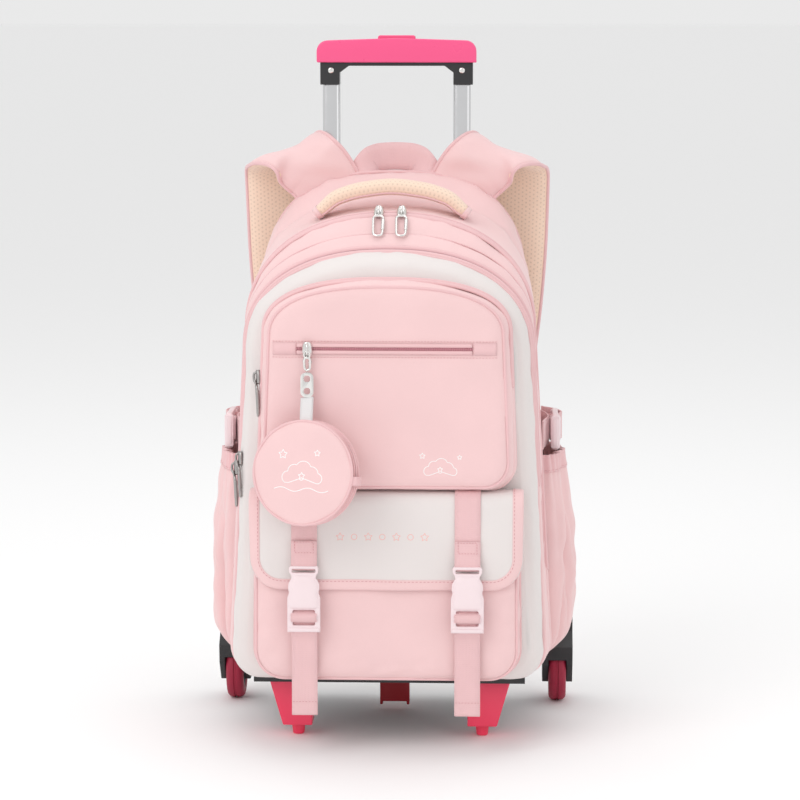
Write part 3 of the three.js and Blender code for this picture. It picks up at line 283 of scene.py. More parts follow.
def fitted(obj, body="bag_and_frame", replaces=()):
    """Every finished piece rides on its body and hides the solids it stands for."""
    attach(obj, body)
    if replaces:
        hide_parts(*replaces)
    return obj


def gusset_rows(outline_at, seams, sink, pucker, seed, step=2.5):
    """Rows of a gusset between seams that draw it in, with short puckers that start at each seam."""
    rows = []
    for start, end in zip(seams, seams[1:]):
        for depth in np.linspace(start, end, max(int((end - start) / step), 4)):
            share = abs(2 * (depth - start) / (end - start) - 1)
            near = min(depth - start, end - depth)
            flat = ring(outline_at(depth), depth)
            fade = math.exp(-near / 11) * (1 - math.exp(-near / 2))
            crease = rumple(flat * (1, 0.25, 1), 17, seed) * pucker * fade
            swell = rumple(flat * (1, 1, 1), 95, seed + 1) * 0.5
            rows.append(ring(outline_at(depth), depth, crease + swell - sink * share ** 5))
    return rows


pink_cloth = cloth("pink_cloth", (0.905, 0.625, 0.625))
main_compartment = skinned(
    "main_compartment",
    gusset_rows(bag_outline, [main_back, 46.0, main_zip_depth - 1.5], 2.4, 0.8, 3), pink_cloth)
fitted(main_compartment, replaces=["main_shell"])

# Second compartment
# The room between the two long zips: a gusset of two strips joined by a seam, with a short seam at
# the middle of its top. Cloth and making are as on the main compartment.
second_compartment = skinned(
    "second_compartment",
    gusset_rows(bag_outline, [main_zip_depth + 1.5, gusset_seam_depth, middle_zip_depth - 1.5],
                1.7, 0.5, 11, 1.6), pink_cloth)
fitted(second_compartment, replaces=["middle_shell"])

# Front compartment
# The white front: a thinly padded panel of the same cloth in off-white, eased round its rim. The
# pockets are sewn onto it.
front_back, front_face = 157.5, 184.0


def face_rows(line, depth, crown, seed, settle=6.0, rumples=0.35, edge=0.0, steps=46):
    """Rows of a front panel from its edge to its middle: it rises to its crown near its edge, with
    soft dents over it and puckers along its edge."""
    middle = np.array([0.0, (line[:, 1].min() + line[:, 1].max()) / 2])
    rows = []
    for share in np.linspace(1, 0.01, steps):
        flat = middle + (line - middle) * share
        reach = np.linalg.norm(line - middle, axis=1) * (1 - share)
        lift = crown * (1 - np.exp(-reach / settle))
        spots = np.stack([flat[:, 0], np.full(len(flat), depth), flat[:, 1]], 1)
        dent = rumple(spots, 120, seed) * rumples * (1 - np.exp(-reach / 30))
        pucker = rumple(spots, 15, seed + 1) * edge * np.exp(-reach / 16) * (1 - np.exp(-reach / 3))
        rows.append(np.stack([flat[:, 0], depth + lift + dent + pucker, flat[:, 1]], 1))
    return rows


white_cloth = cloth("white_cloth", (0.800, 0.745, 0.728), sheen=0.2, blotch=0.03)
front_line = bag_outline(front_face)
front_panel = skinned(
    "front_panel",
    gusset_rows(bag_outline, [front_back, front_face - 0.6], 0.9, 0.35, 21, 1.2)
    + face_rows(front_line, front_face - 0.4, 0.0, 22, rumples=0.0, steps=20), white_cloth)
fitted(front_panel, replaces=["front_shell"])

# Upper front pocket
# A boxed pocket: a pink gusset with its own zip, corded at its front edge, and a crowned front of
# the same cloth with a second, straight zip across it.
pocket_back = 184.3
pocket_half = 110.0
upper_base, upper_height, upper_depth = 231.0, 180.0, 31.0
upper_rows = [
    (0.00, 0.960, 1.000, 0.000, 1.000, 0.740, 2.5, 0.20),
    (0.50, 0.945, 0.985, 0.005, 0.990, 0.735, 2.5, 0.20),
    (0.80, 0.905, 0.945, 0.022, 0.972, 0.730, 2.5, 0.19),
    (1.00, 0.845, 0.885, 0.055, 0.935, 0.720, 2.6, 0.17),
]
upper_zip_depth = pocket_back + 9.0
upper_edge_depth = pocket_back + 25.0


def upper_outline(depth, count=around):
    shares = eased(upper_rows, (depth - pocket_back) / upper_depth)
    return outline(shares, pocket_half, upper_base, upper_height, count)


upper_line = upper_outline(upper_edge_depth)
upper_pocket = skinned(
    "upper_front_pocket",
    gusset_rows(upper_outline, [pocket_back - 1.0, upper_zip_depth, upper_edge_depth], 1.0, 0.3, 31, 1.4)
    + face_rows(upper_line, upper_edge_depth - 0.5, 5.4, 32, settle=5.0, rumples=0.5, edge=0.25),
    pink_cloth)
fitted(upper_pocket, replaces=["upper_pocket"])

# Lower front pocket
# A boxed pocket under the flap, open at its top, with a fold down each side so that it can swell.
lower_base, lower_height, lower_depth = 66.0, 162.0, 27.0
lower_rows = [
    (0.00, 1.030, 1.045, 0.000, 1.000, 0.90, 5.0, 0.22),
    (0.60, 1.020, 1.030, 0.005, 0.995, 0.90, 5.0, 0.22),
    (0.88, 0.985, 0.995, 0.025, 0.980, 0.89, 5.0, 0.21),
    (1.00, 0.935, 0.945, 0.060, 0.945, 0.87, 5.0, 0.19),
]
lower_edge_depth = pocket_back + 20.0


def lower_outline(depth, count=around):
    shares = eased(lower_rows, (depth - pocket_back) / lower_depth)
    return outline(shares, pocket_half, lower_base, lower_height, count)


lower_line = lower_outline(lower_edge_depth)
lower_pocket = skinned(
    "lower_front_pocket",
    gusset_rows(lower_outline, [pocket_back - 1.0, pocket_back + 9.5, lower_edge_depth], 2.2, 0.4, 41, 1.4)
    + face_rows(lower_line, lower_edge_depth - 0.5, 6.0, 42, settle=6.0, rumples=0.7, edge=0.5),
    pink_cloth)
fitted(lower_pocket, replaces=["lower_pocket"])

# Cords in the seams
# Thin cords covered with bias-cut cloth, caught in the seams at the rim of the back, the long
# gusset and both front pockets. They stand a millimetre or two proud of the cloth.
cord_sides = 10


def tube_rows(line, radius, sides=cord_sides, closed=True):
    """Rows of a round cord along a line of points (across, depth, high)."""
    line = np.asarray(line, float)
    if closed:
        along = np.roll(line, -1, 0) - np.roll(line, 1, 0)
    else:
        along = np.gradient(line, axis=0)
    along /= np.linalg.norm(along, axis=1, keepdims=True)
    side = np.cross(along, (0.0, 1.0, 0.0))
    weak = np.linalg.norm(side, axis=1) < 0.2
    side[weak] = np.cross(along[weak], (0.0, 0.0, 1.0))
    side /= np.linalg.norm(side, axis=1, keepdims=True)
    up = np.cross(side, along)
    turn = np.linspace(0, 2 * math.pi, sides, endpoint=False)
    rows = (line[:, None] + radius * (np.cos(turn)[None, :, None] * side[:, None]
                                      + np.sin(turn)[None, :, None] * up[:, None]))
    return np.concatenate([rows, rows[:1]]) if closed else rows


def joined(name, pieces):
    """Several meshes of one finish as one piece."""
    bpy.ops.object.select_all(action="DESELECT")
    for piece in pieces:
        piece.select_set(True)
    bpy.context.view_layer.objects.active = pieces[0]
    if len(pieces) > 1:
        bpy.ops.object.join()
    pieces[0].name = name
    pieces[0].data.name = name
    return pieces[0]


corded_seams = [
    (bag_outline, main_back, -1.2, 1.7), (bag_outline, gusset_seam_depth, -1.3, 0.7),
    (bag_outline, middle_zip_depth + 5.4, -0.7, 1.5), (upper_outline, pocket_back + 0.6, -0.2, 1.6),
    (upper_outline, upper_edge_depth - 0.4, -0.4, 1.5), (lower_outline, pocket_back + 0.6, -0.2, 1.4),
    (lower_outline, lower_edge_depth - 0.4, -0.3, 1.3),
]
bias_cloth = cloth("bias_cloth", (0.86, 0.555, 0.565), thread=0.4)
cords = [
    skinned("cord", tube_rows(ring(outline_at(depth), depth, grow), radius), bias_cloth, ends=False)
    for outline_at, depth, grow, radius in corded_seams]
fitted(joined("seam_cords", cords))

# Zips
# Coil zips set between two folded lips of cloth: round both compartments, round the upper pocket,
# and straight across its front. The coil lies sunk between the lips.
lip_profile = [
    (-4.8, -0.8), (-4.7, 0.8), (-4.1, 1.7), (-3.0, 2.1), (-2.0, 1.8), (-1.4, 0.8), (-1.3, -0.8),
]
bar_facets = 6


def bars(name, lines, pitch, length, radius, material, facing=None, flat=1.0):
    """A row of small rounded bars along each line: stitches that follow it, or, with facing, zip
    teeth and ribs that all lie along one direction. Sizes are in millimetres."""
    tree = bpy.data.node_groups.new(name, "GeometryNodeTree")
    tree.interface.new_socket("Geometry", in_out="INPUT", socket_type="NodeSocketGeometry")
    for label, kind in [("Pitch", "Float"), ("Length", "Float"), ("Radius", "Float"),
                        ("Facing", "Vector"), ("Follow line", "Bool"), ("Flatness", "Float")]:
        tree.interface.new_socket(label, in_out="INPUT", socket_type="NodeSocket" + kind)
    tree.interface.new_socket("Geometry", in_out="OUTPUT", socket_type="NodeSocketGeometry")
    start = tree.nodes.new("NodeGroupInput")
    end = tree.nodes.new("NodeGroupOutput")

    def add(kind, links, **settings):
        made = tree.nodes.new(kind)
        for key, value in settings.items():
            setattr(made, key, value)
        for key, value in links.items():
            if isinstance(value, bpy.types.NodeSocket):
                tree.links.new(value, made.inputs[key])
            else:
                made.inputs[key].default_value = value
        return made.outputs

    line = add("GeometryNodeMeshToCurve", {"Mesh": start.outputs["Geometry"]})["Curve"]
    spots = add("GeometryNodeResampleCurve", {"Curve": line, "Length": start.outputs["Pitch"]},
                mode="LENGTH")["Curve"]
    ball = add("GeometryNodeMeshUVSphere", {"Segments": bar_facets, "Rings": 4, "Radius": 1.0})["Mesh"]
    tangent = add("GeometryNodeInputTangent", {})["Tangent"]
    way = add("GeometryNodeSwitch", {"Switch": start.outputs["Follow line"],
                                     "False": start.outputs["Facing"], "True": tangent},
              input_type="VECTOR")["Output"]
    turn = add("FunctionNodeAlignRotationToVector", {"Vector": way}, axis="Z")["Rotation"]
    half = add("ShaderNodeMath", {0: start.outputs["Length"], 1: 0.5}, operation="MULTIPLY")["Value"]
    thin = add("ShaderNodeMath", {0: start.outputs["Radius"], 1: start.outputs["Flatness"]},
               operation="MULTIPLY")["Value"]
    size = add("ShaderNodeCombineXYZ", {"X": start.outputs["Radius"], "Y": thin, "Z": half})["Vector"]
    copies = add("GeometryNodeInstanceOnPoints", {"Points": spots, "Instance": ball, "Rotation": turn,
                                                  "Scale": size})["Instances"]
    solid = add("GeometryNodeRealizeInstances", {"Geometry": copies})["Geometry"]
    shaded = add("GeometryNodeSetShadeSmooth", {"Geometry": solid})["Geometry"]
    done = add("GeometryNodeSetMaterial", {"Geometry": shaded, "Material": material})["Geometry"]
    tree.links.new(done, end.inputs["Geometry"])

    points, edges = [], []
    for one in lines:
        first = len(points)
        points += [tuple(p) for p in placed(one)]
        edges += [(i, i + 1) for i in range(first, len(points) - 1)]
    mesh = bpy.data.meshes.new(name)
    mesh.from_pydata(points, edges, [])
    obj = bpy.data.objects.new(name, mesh)
    bpy.context.collection.objects.link(obj)
    modifier = obj.modifiers.new("bars", "NODES")
    modifier.node_group = tree
    wanted = {"Pitch": pitch * mm, "Length": length * mm, "Radius": radius * mm,
              "Facing": facing or (0.0, 0.0, 1.0), "Follow line": facing is None, "Flatness": flat}
    for item in tree.interface.items_tree:
        if item.in_out == "INPUT" and item.name in wanted:
            modifier[item.identifier] = wanted[item.name]
    bpy.context.view_layer.update()
    evaluated = obj.evaluated_get(bpy.context.evaluated_depsgraph_get())
    made = bpy.data.meshes.new_from_object(evaluated)
    obj.modifiers.remove(modifier)
    obj.data = made
    return obj


def open_line(outline_at, depth, left_end, right_end, grow, count):
    """An outline from its right end over the top to its left end, as points."""
    points = ring(outline_at(depth, 900), depth, grow)
    middle = len(points) // 2
    first = int(np.argmax(points[:middle, 2] >= right_end))
    last = len(points) - 1 - int(np.argmax(points[:middle:-1, 2] >= left_end))
    return evened(points[first:last + 1], count, closed=False)


def lip_rows(outline_at, depth, ends, side, count):
    """Rows of one folded lip beside a zip, on the back (-1) or front (+1) side of it."""
    lines = [open_line(outline_at, depth - side * along, *ends, out, count) for along, out in lip_profile]
    return np.stack(lines, 1)


tape_cloth = cloth("zip_tape", (0.52, 0.22, 0.26), thread=0.35, lift=0.2)


def plastic(name, colour, roughness=0.38, grain=0.5):
    """Moulded plastic with a faint, fine grain and a little unevenness in its gloss."""
    made, start, shader = finish(name, colour, roughness, Specular_IOR_Level=0.5, Coat_Roughness=0.3)
    place = start.node("ShaderNodeTexCoord", output="Object")
    feed(shader, "Roughness", start.noise(place, 60.0) * 0.16 + (roughness - 0.08))
    tint = start.noise(place, 18.0)
    feed(shader, "Base Color", tint.mix((*(c * 0.93 for c in colour), 1), (*colour, 1)))
    bump = start.node("ShaderNodeBump", None, {"Strength": 0.08 * grain, "Distance": 0.1 * mm,
                                               "Height": start.noise(place, 2600.0, 1.0)})
    feed(shader, "Normal", bump)
    return made


coil = plastic("zip_coil", (0.60, 0.27, 0.31), 0.38)
long_zips = {
    "main_zip": (bag_outline, main_zip_depth, (148.0, 148.0), 420),
    "middle_zip": (bag_outline, middle_zip_depth, (228.0, 228.0), 380),
    "pocket_zip": (upper_outline, upper_zip_depth, (250.0, 319.0), 300),
}
for name, (outline_at, depth, ends, count) in long_zips.items():
    lips = [skinned("lip", lip_rows(outline_at, depth, ends, side, count), bias_cloth)
            for side in (-1, 1)]
    fitted(joined(name + "_lips", lips), replaces=[name])
    tape = np.stack([open_line(outline_at, depth + along, *ends, out, count)
                     for along, out in [(-2, -0.6), (2, -0.6), (2, 0.3), (-2, 0.3)]], 1)
    fitted(skinned(name + "_tape", tape, tape_cloth))
    teeth_line = open_line(outline_at, depth, *ends, 0.55, count)
    teeth = bars(name + "_coil", [teeth_line], 1.5, 2.9, 0.5, coil, facing=(0.0, 1.0, 0.0))
    fitted(teeth)

# Below each zip's ends the two sides are joined by a plain strip of the gusset's cloth
strip_profile = [(-5.2, -2.0), (-4.8, 0.3), (-3.6, 1.1), (-1.6, 1.5),
                 (1.6, 1.5), (3.6, 1.1), (4.8, 0.3), (5.2, -2.0)]
strips = []
for outline_at, depth, ends, count in long_zips.values():
    lines = []
    for along, out in strip_profile:
        points = ring(outline_at(depth - along, 900), depth - along, out)
        middle = len(points) // 2
        first = int(np.argmax(points[:middle, 2] >= ends[1] + 3))
        last = len(points) - 1 - int(np.argmax(points[:middle:-1, 2] >= ends[0] + 3))
        lines.append(evened(np.vstack([points[last:], points[:first + 1]]), 240, closed=False))
    strips.append(skinned("strip", np.stack(lines, 1), pink_cloth))
fitted(joined("gusset_strips", strips))

# The straight zip across the upper pocket's front, between its own two lips
welt_z, welt_left, welt_right, welt_depth = 354.0, -75.0, 73.0, 215.4
welt_x = np.linspace(welt_left, welt_right, 60)


def welt_strip(height, lift):
    return np.stack([welt_x, np.full(60, welt_depth + lift), np.full(60, welt_z + height)], 1)


welt_lips = [
    skinned("welt", np.stack([welt_strip(side * -along * 0.95, out * 0.75)
                              for along, out in lip_profile], 1), bias_cloth)
    for side in (-1, 1)]
fitted(joined("welt_zip_lips", welt_lips), replaces=["welt_zip"])
welt_tape = skinned("welt_zip_tape", np.stack(
    [welt_strip(high, out) for high, out in [(-2, -0.8), (2, -0.8), (2, 0.2), (-2, 0.2)]], 1), tape_cloth)
fitted(welt_tape)
fitted(bars("welt_zip_coil", [welt_strip(0, 0.35)], 1.5, 2.4, 0.5, coil, facing=(0.0, 0.0, 1.0)))

# Print on the upper pocket
# A small generic cloud between stars in white screen print, low on the pocket's right.
white_print = cloth("white_print", (0.96, 0.93, 0.92), lift=0.06, roughness=0.62, blotch=0.02, sheen=0.0)


def laid_on(obj, line, lift):
    """Points (across, high) in millimetres laid on the front of a piece."""
    mesh = obj.data
    tree = BVHTree.FromPolygons([v.co for v in mesh.vertices], [p.vertices for p in mesh.polygons])
    points = []
    for across, high in line:
        start = Vector((across * mm, back_plane - 0.5, high * mm))
        hit = tree.ray_cast(start, Vector((0, 1, 0)))[0]
        points.append((across, (back_plane - hit.y) / mm + lift, high))
    return np.array(points)


def star(across, high, size, tips=5, inner=0.5):
    turn = np.linspace(0, 2 * math.pi, 2 * tips, endpoint=False) + math.pi / 2
    reach = np.where(np.arange(2 * tips) % 2, inner, 1.0) * size
    line = np.stack([across + reach * np.cos(turn), high + reach * np.sin(turn)], 1)
    return evened(line, 40)


def cloud(across, high, size):
    """A cloud's outline of five round lobes on a flat foot."""
    lobes = [(-0.72, 0.0, 0.30), (-0.38, 0.30, 0.34), (0.08, 0.42, 0.40), (0.50, 0.22, 0.34),
             (0.80, -0.02, 0.26)]
    turn = np.linspace(0, 2 * math.pi, 240, endpoint=False)
    ray = np.stack([np.cos(turn), np.sin(turn)], 1)
    reach = np.full(240, 0.12)
    for x, y, r in lobes:
        along = ray @ np.array([x, y])
        inside = along ** 2 - (x * x + y * y - r * r)
        reach = np.maximum(reach, np.where(inside > 0, along + np.sqrt(np.maximum(inside, 0)), 0))
    line = ray * reach[:, None]
    line[:, 1] = np.maximum(line[:, 1], -0.26)
    return np.array([across, high]) + evened(line, 120) * size


def printed(name, obj, lines, width, lift=0.12):
    strokes = []
    for line in lines:
        seat = laid_on(obj, line, lift - width / 2)
        strokes.append(skinned("stroke", tube_rows(seat, width / 2, 8), white_print, ends=False))
    return fitted(joined(name, strokes))


stitch_thread = cloth("stitch_thread", (0.78, 0.44, 0.46), thread=0.35, lift=0.25, roughness=0.65)
stitch_places = np.linspace(-95, 93, 160)
rows_beside_welt = [laid_on(upper_pocket, np.stack([stitch_places, np.full(160, welt_z + lift)], 1), 0.25)
                    for lift in (6.2, -7.4)]
fitted(bars("welt_stitches", rows_beside_welt, 2.7, 1.9, 0.24, stitch_thread))
patches = []
for low, high in ((-95.5, welt_left), (welt_right, 93.5)):
    plan = [laid_on(upper_pocket, np.stack([np.linspace(low, high, 12), np.full(12, welt_z + rise)], 1), out)
            for rise, out in ((-5.4, 0.1), (-5.2, 0.9), (0, 1.1), (5.0, 0.9), (5.2, 0.1))]
    patches.append(skinned("patch", np.stack(plan, 1), bias_cloth))
fitted(joined("welt_end_patches", patches))
printed("upper_pocket_print", upper_pocket,
        [cloud(46, 250, 13.5), star(31, 263, 2.6), star(62.5, 262, 2.0), star(46, 251.5, 2.3)], 0.9)

# Flap
# A single piece of the white cloth, sewn in under the upper pocket and hanging over the lower one.
# Its free edges are bound with pink tape held by one row of stitches.
flap_half, flap_drop, flap_round = 116.4, 103.0, 27.0
# The flap's fall from its seam: length along the cloth, depth, height
flap_fall = [(0.0, 186.8, 229.6), (9.0, 195.6, 230.2), (17.0, 203.4, 229.6), (21.5, 207.6, 228.0),
             (25.5, 210.4, 225.0), (30.0, 211.9, 220.6), (60.0, 212.9, 190.6), (103.0, 212.0, 147.4)]


def flap_at(across, down, lift):
    """The flap's cloth at a place across and down it, lifted off its middle surface."""
    across, down = (np.asarray(one, float) for one in np.broadcast_arrays(across, down))
    fall = np.array([eased(flap_fall, one) for one in down.ravel()]).reshape(*down.shape, 2)
    ahead = np.array([eased(flap_fall, one + 0.5) for one in down.ravel()]).reshape(*down.shape, 2)
    way = ahead - fall
    way /= np.linalg.norm(way, axis=-1, keepdims=True)
    hung_share = np.clip((down - 18) / 60, 0, 1)
    roll = np.clip((np.abs(across) - 99) / 18, 0, 1.2) ** 2 * 6.0 * hung_share
    spots = np.stack([across, down * 0.7], -1)
    wave = rumple(spots, 60, 51) * 0.5 * hung_share + rumple(spots, 150, 52) * 0.5 * hung_share
    out = lift + wave - roll
    return np.stack([across, fall[..., 0] - way[..., 1] * out, fall[..., 1] + way[..., 0] * out], -1)


def flap_line(inset, count=170):
    """The flap's free edge from its top left, round its foot, to its top right, moved inwards."""
    half, foot, bend = flap_half - inset, flap_drop - inset, max(flap_round - inset, 3.0)
    turn = np.linspace(0, math.pi / 2, 16)
    left = np.stack([-half + bend - bend * np.cos(turn), foot - bend + bend * np.sin(turn)], 1)
    line = np.vstack([[[-half, 4.0]], left, (left * (-1, 1))[::-1], [[half, 4.0]]])
    return evened(line, count, closed=False)


def flap_edge(inset, lift, count=170):
    line = flap_line(inset, count)
    return flap_at(line[:, 0], line[:, 1], lift)


def applied(obj):
    """The object with its modifiers made part of its mesh."""
    bpy.context.view_layer.update()
    evaluated = obj.evaluated_get(bpy.context.evaluated_depsgraph_get())
    made = bpy.data.meshes.new_from_object(evaluated)
    obj.modifiers.clear()
    obj.data = made
    return obj


def thickened(obj, thickness):
    """A thin sheet given its thickness, half on each side."""
    solid = obj.modifiers.new("thickness", "SOLIDIFY")
    solid.thickness, solid.offset = thickness * mm, 0.0
    return applied(obj)


foot_turn = np.linspace(0, math.pi / 2, 14)[1:]
flap_down = np.concatenate([np.linspace(0, flap_drop - flap_round, 60),
                            flap_drop - flap_round * (1 - np.sin(foot_turn))])
flap_width = flap_half - flap_round * (1 - np.sqrt(
    1 - np.clip((flap_down - flap_drop + flap_round) / flap_round, 0, 1) ** 2))
flap_grid = flap_at(flap_width[:, None] * np.linspace(-1, 1, 120), flap_down[:, None], 0.0)
flap = thickened(skinned("flap_cloth", flap_grid, white_cloth, wrap=False), 1.8)
fitted(flap, replaces=["flap"])
binding_section = [(8.8, 0.8), (8.6, 1.5), (7.0, 1.8), (4.0, 1.7), (1.2, 1.5), (-0.2, 0.9), (-0.6, 0.0),
                   (-0.2, -0.9), (1.2, -1.5), (5.0, -1.7), (8.6, -1.5), (8.8, -0.8)]
binding = skinned("flap_binding", np.stack([flap_edge(*spot) for spot in binding_section], 1), pink_cloth)
fitted(binding)
thread = cloth("thread", (0.72, 0.36, 0.38), thread=0.35, lift=0.25, roughness=0.65)
fitted(bars("flap_stitches", [flap_edge(7.2, 1.85, 300)], 3.3, 2.3, 0.3, thread))
flap_marks = []
for place in range(-3, 4):
    shape = star(place * 12.0 - 3, 193.0, 3.6 if place % 2 else 2.4, *((5, 0.5) if place % 2 else (12, 1.0)))
    flap_marks.append(shape)
pale_print = cloth("pale_print", (0.90, 0.47, 0.43), lift=0.06, roughness=0.62, blotch=0.02, sheen=0.0)
marks = printed("flap_print", flap, flap_marks, 1.0, 0.1)
marks.data.materials[0] = pale_print

# Webbing over the flap
# Two straps of pink woven webbing, held to the flap by a sewn box, folded round the buckle's bar
# above and through its ladder below, with a turned and stitched tail.
web_half, web_thick = 11.0, 1.6
buckle_x, buckle_foot = 69.5, 112.0


def webbing(name, colour, rib=1.25, lift=0.5):
    """Woven webbing: rows of rounded ribs along it, crossed by the weft. Its colour has a random dye
    unevenness and painted shade, darker in the hollows between the ribs.
    """
    made, start, shader = finish(name, colour, 0.7, Sheen_Weight=0.25, Specular_IOR_Level=0.3)
    across, along, _ = start.node("ShaderNodeUVMap", {"uv_map": "cloth"}).split()
    warp = (across * (2 * math.pi / rib)).sin()
    weft = (along * (2 * math.pi / 1.7) + warp * 1.4).sin()
    height = warp * 0.35 + weft * 0.5
    place = start.node("ShaderNodeTexCoord", output="Object")
    # Random dye unevenness plus painted shade: the rib pattern's low places are coloured darker
    tone = start.noise(place, 40.0) * 0.5 + height * 0.18 + 0.35
    low = tuple(c * 0.86 for c in colour)
    feed(shader, "Base Color", tone.mix((*low, 1), (*colour, 1)))
    bump = start.node("ShaderNodeBump", None, {"Strength": lift, "Distance": 0.25 * mm, "Height": height})
    feed(shader, "Normal", bump)
    return made


def frames(path, across):
    """Unit vectors across and out of a band at each point of its path, in (across, depth, high)."""
    flip = np.array([1.0, -1.0, 1.0])
    line, side = np.asarray(path, float) * flip, np.asarray(across, float) * flip
    along = np.gradient(line, axis=0)
    along /= np.linalg.norm(along, axis=1, keepdims=True)
    side = side - (side * along).sum(1, keepdims=True) * along
    side /= np.linalg.norm(side, axis=1, keepdims=True)
    return side * flip, np.cross(along, side) * flip


def band_rows(path, across, half, thick, section):
    """Rows of a band: each point of its section is (across, out) in half widths and thicknesses."""
    side, out = frames(path, np.broadcast_to(across, np.shape(path)))
    half, thick = np.reshape(half, (-1, 1, 1)), np.reshape(thick, (-1, 1, 1))
    section = np.asarray(section, float)
    return (np.asarray(path, float)[:, None] + side[:, None] * section[None, :, :1] * half
            + out[:, None] * section[None, :, 1:] * thick)


flat_band = [(-1, -0.15), (-0.97, -0.5), (-0.5, -0.5), (0, -0.5), (0.5, -0.5), (0.97, -0.5), (1, -0.15),
             (1, 0.15), (0.97, 0.5), (0.5, 0.5), (0, 0.5), (-0.5, 0.5), (-0.97, 0.5), (-1, 0.15)]


def measured(rows):
    """The cloth's own measure along a skin's columns and rows, in millimetres."""
    rows = np.asarray(rows, float)
    middle = rows[len(rows) // 2]
    across = np.linalg.norm(np.diff(np.vstack([middle, middle[:1]]), axis=0), axis=1)
    along = np.linalg.norm(np.diff(rows.mean(1), axis=0), axis=1)
    return np.concatenate([[0], np.cumsum(across)]), np.concatenate([[0], np.cumsum(along)])


def strap(name, path, across, width, thick, material):
    rows = band_rows(path, across, width / 2, thick, flat_band)
    return skinned(name, rows, material, run=measured(rows))


def smooth_path(points, count):
    """A smooth line through a few points."""
    points = np.asarray(points, float)
    run = np.concatenate([[0], np.cumsum(np.linalg.norm(np.diff(points, axis=0), axis=1))])
    table = np.column_stack([run, points])
    return np.array([eased(table, at) for at in np.linspace(0, run[-1], count)])


pink_webbing = webbing("pink_webbing", (0.87, 0.565, 0.575))
for side_name, sign in (("left", -1), ("right", 1)):
    x = sign * buckle_x
    down = np.array([14, 20, 26, 33, 43, 53, 63, 73, 79.0])
    top_run = flap_at(np.full(9, x), down, np.array([1.9, 1.9, 1.9, 1.9, 1.9, 1.9, 2.0, 2.9, 4.4]))
    fold = [(x, 217.2, 167.8), (x, 219.0, 165.6), (x, 220.4, 166.8), (x, 219.4, 170.5), (x, 217.4, 178.0),
            (x, 216.6, 186.0), (x, 216.4, 190.0)]
    upper_web = strap(f"flap_strap_{side_name}_web", smooth_path(np.vstack([top_run, fold]), 60),
                      (1, 0, 0), 2 * web_half, web_thick, pink_webbing)
    fitted(upper_web, replaces=[f"flap_strap_{side_name}"])
    tail = [(x, 218.2, 131.0), (x, 220.4, 128.6), (x, 224.0, 127.2), (x, 225.4, 124.6), (x, 223.6, 122.0),
            (x, 219.8, 120.6), (x, 218.4, 118.0), (x, 219.8, 114.6), (x, 219.4, 111.0), (x, 217.0, 107.0),
            (x, 215.6, 98.0), (x, 214.6, 80.0), (x, 214.2, 60.0), (x, 214.6, 44.0), (x, 214.9, 39.6),
            (x, 213.9, 38.3), (x, 212.9, 40.0), (x, 212.5, 50.0), (x, 212.4, 53.0)]
    tail_web = strap(f"flap_tail_{side_name}_web", smooth_path(tail, 90), (1, 0, 0), 2 * web_half,
                     web_thick, pink_webbing)
    fitted(tail_web, replaces=[f"flap_tail_{side_name}"])
    box = [(x - 8, 189), (x + 8, 189), (x + 8, 180), (x - 8, 180)]
    box_line = laid_on(upper_web, evened(np.array(box, float), 60), 0.2)
    hem = laid_on(tail_web, np.stack([np.linspace(x - 9.5, x + 9.5, 12), np.full(12, 50.0)], 1), 0.2)
    stitches = bars(f"flap_strap_{side_name}_stitches", [np.vstack([box_line, box_line[:1]]), hem], 2.4,
                    1.7, 0.25, thread)
    fitted(stitches)

# Flap buckles
# Side-release buckles moulded in a whitish pink plastic: a bar for the strap above, a waisted body
# whose prongs show as side grips, and a ladder of two bars below.
half_buckle = [(14.0, 0.0), (14.0, 29.0), (13.2, 32.0), (12.6, 34.5), (13.3, 37.5), (13.1, 41.0),
               (11.6, 44.5), (10.3, 47.0), (10.9, 49.5), (12.4, 52.0), (12.6, 55.0), (11.4, 57.0)]


# The body between the bars: height, half width, thickness
buckle_body = [(20, 12.8, 5.0), (22, 13.6, 7.6), (27, 13.5, 9.0), (31, 12.6, 9.2), (34, 12.2, 9.2),
               (38, 12.9, 9.2), (42, 12.4, 8.8), (45, 10.6, 7.8), (49, 9.8, 5.0)]
oval_turns = np.linspace(0, 2 * math.pi, 40, endpoint=False)
oval = np.stack([np.sign(np.cos(oval_turns)) * np.abs(np.cos(oval_turns)) ** 0.5,
                 np.sign(np.sin(oval_turns)) * np.abs(np.sin(oval_turns)) ** 0.75], 1)


def plate(name, loops, thick, bevel, material):
    """A flat moulding from closed loops of (across, high), holes among them, with rounded edges. Its
    middle plane is at depth 0, and it is a mesh in millimetres still to be placed."""
    drawn = bpy.data.curves.new(name, "CURVE")
    drawn.dimensions, drawn.fill_mode = "2D", "BOTH"
    drawn.extrude, drawn.bevel_depth, drawn.bevel_resolution = thick / 2 - bevel, bevel, 3
    drawn.offset = -bevel
    for loop in loops:
        spline = drawn.splines.new("POLY")
        spline.points.add(len(loop) - 1)
        spline.use_cyclic_u = True
        for point, (u, v) in zip(spline.points, loop):
            point.co = (u, v, 0, 1)
    holder = bpy.data.objects.new(name, drawn)
    bpy.context.collection.objects.link(holder)
    bpy.context.view_layer.update()
    mesh = bpy.data.meshes.new_from_object(holder.evaluated_get(bpy.context.evaluated_depsgraph_get()))
    bpy.data.objects.remove(holder)
    mesh.materials.clear()
    mesh.materials.append(material)
    bm = bmesh.new()
    bm.from_mesh(mesh)
    bmesh.ops.remove_doubles(bm, verts=bm.verts, dist=0.002)
    bmesh.ops.recalc_face_normals(bm, faces=bm.faces)
    for face in bm.faces:
        face.smooth = True
    bm.to_mesh(mesh)
    bm.free()
    mesh.set_sharp_from_angle(angle=math.radians(38))
    obj = bpy.data.objects.new(name, mesh)
    bpy.context.collection.objects.link(obj)
    return obj


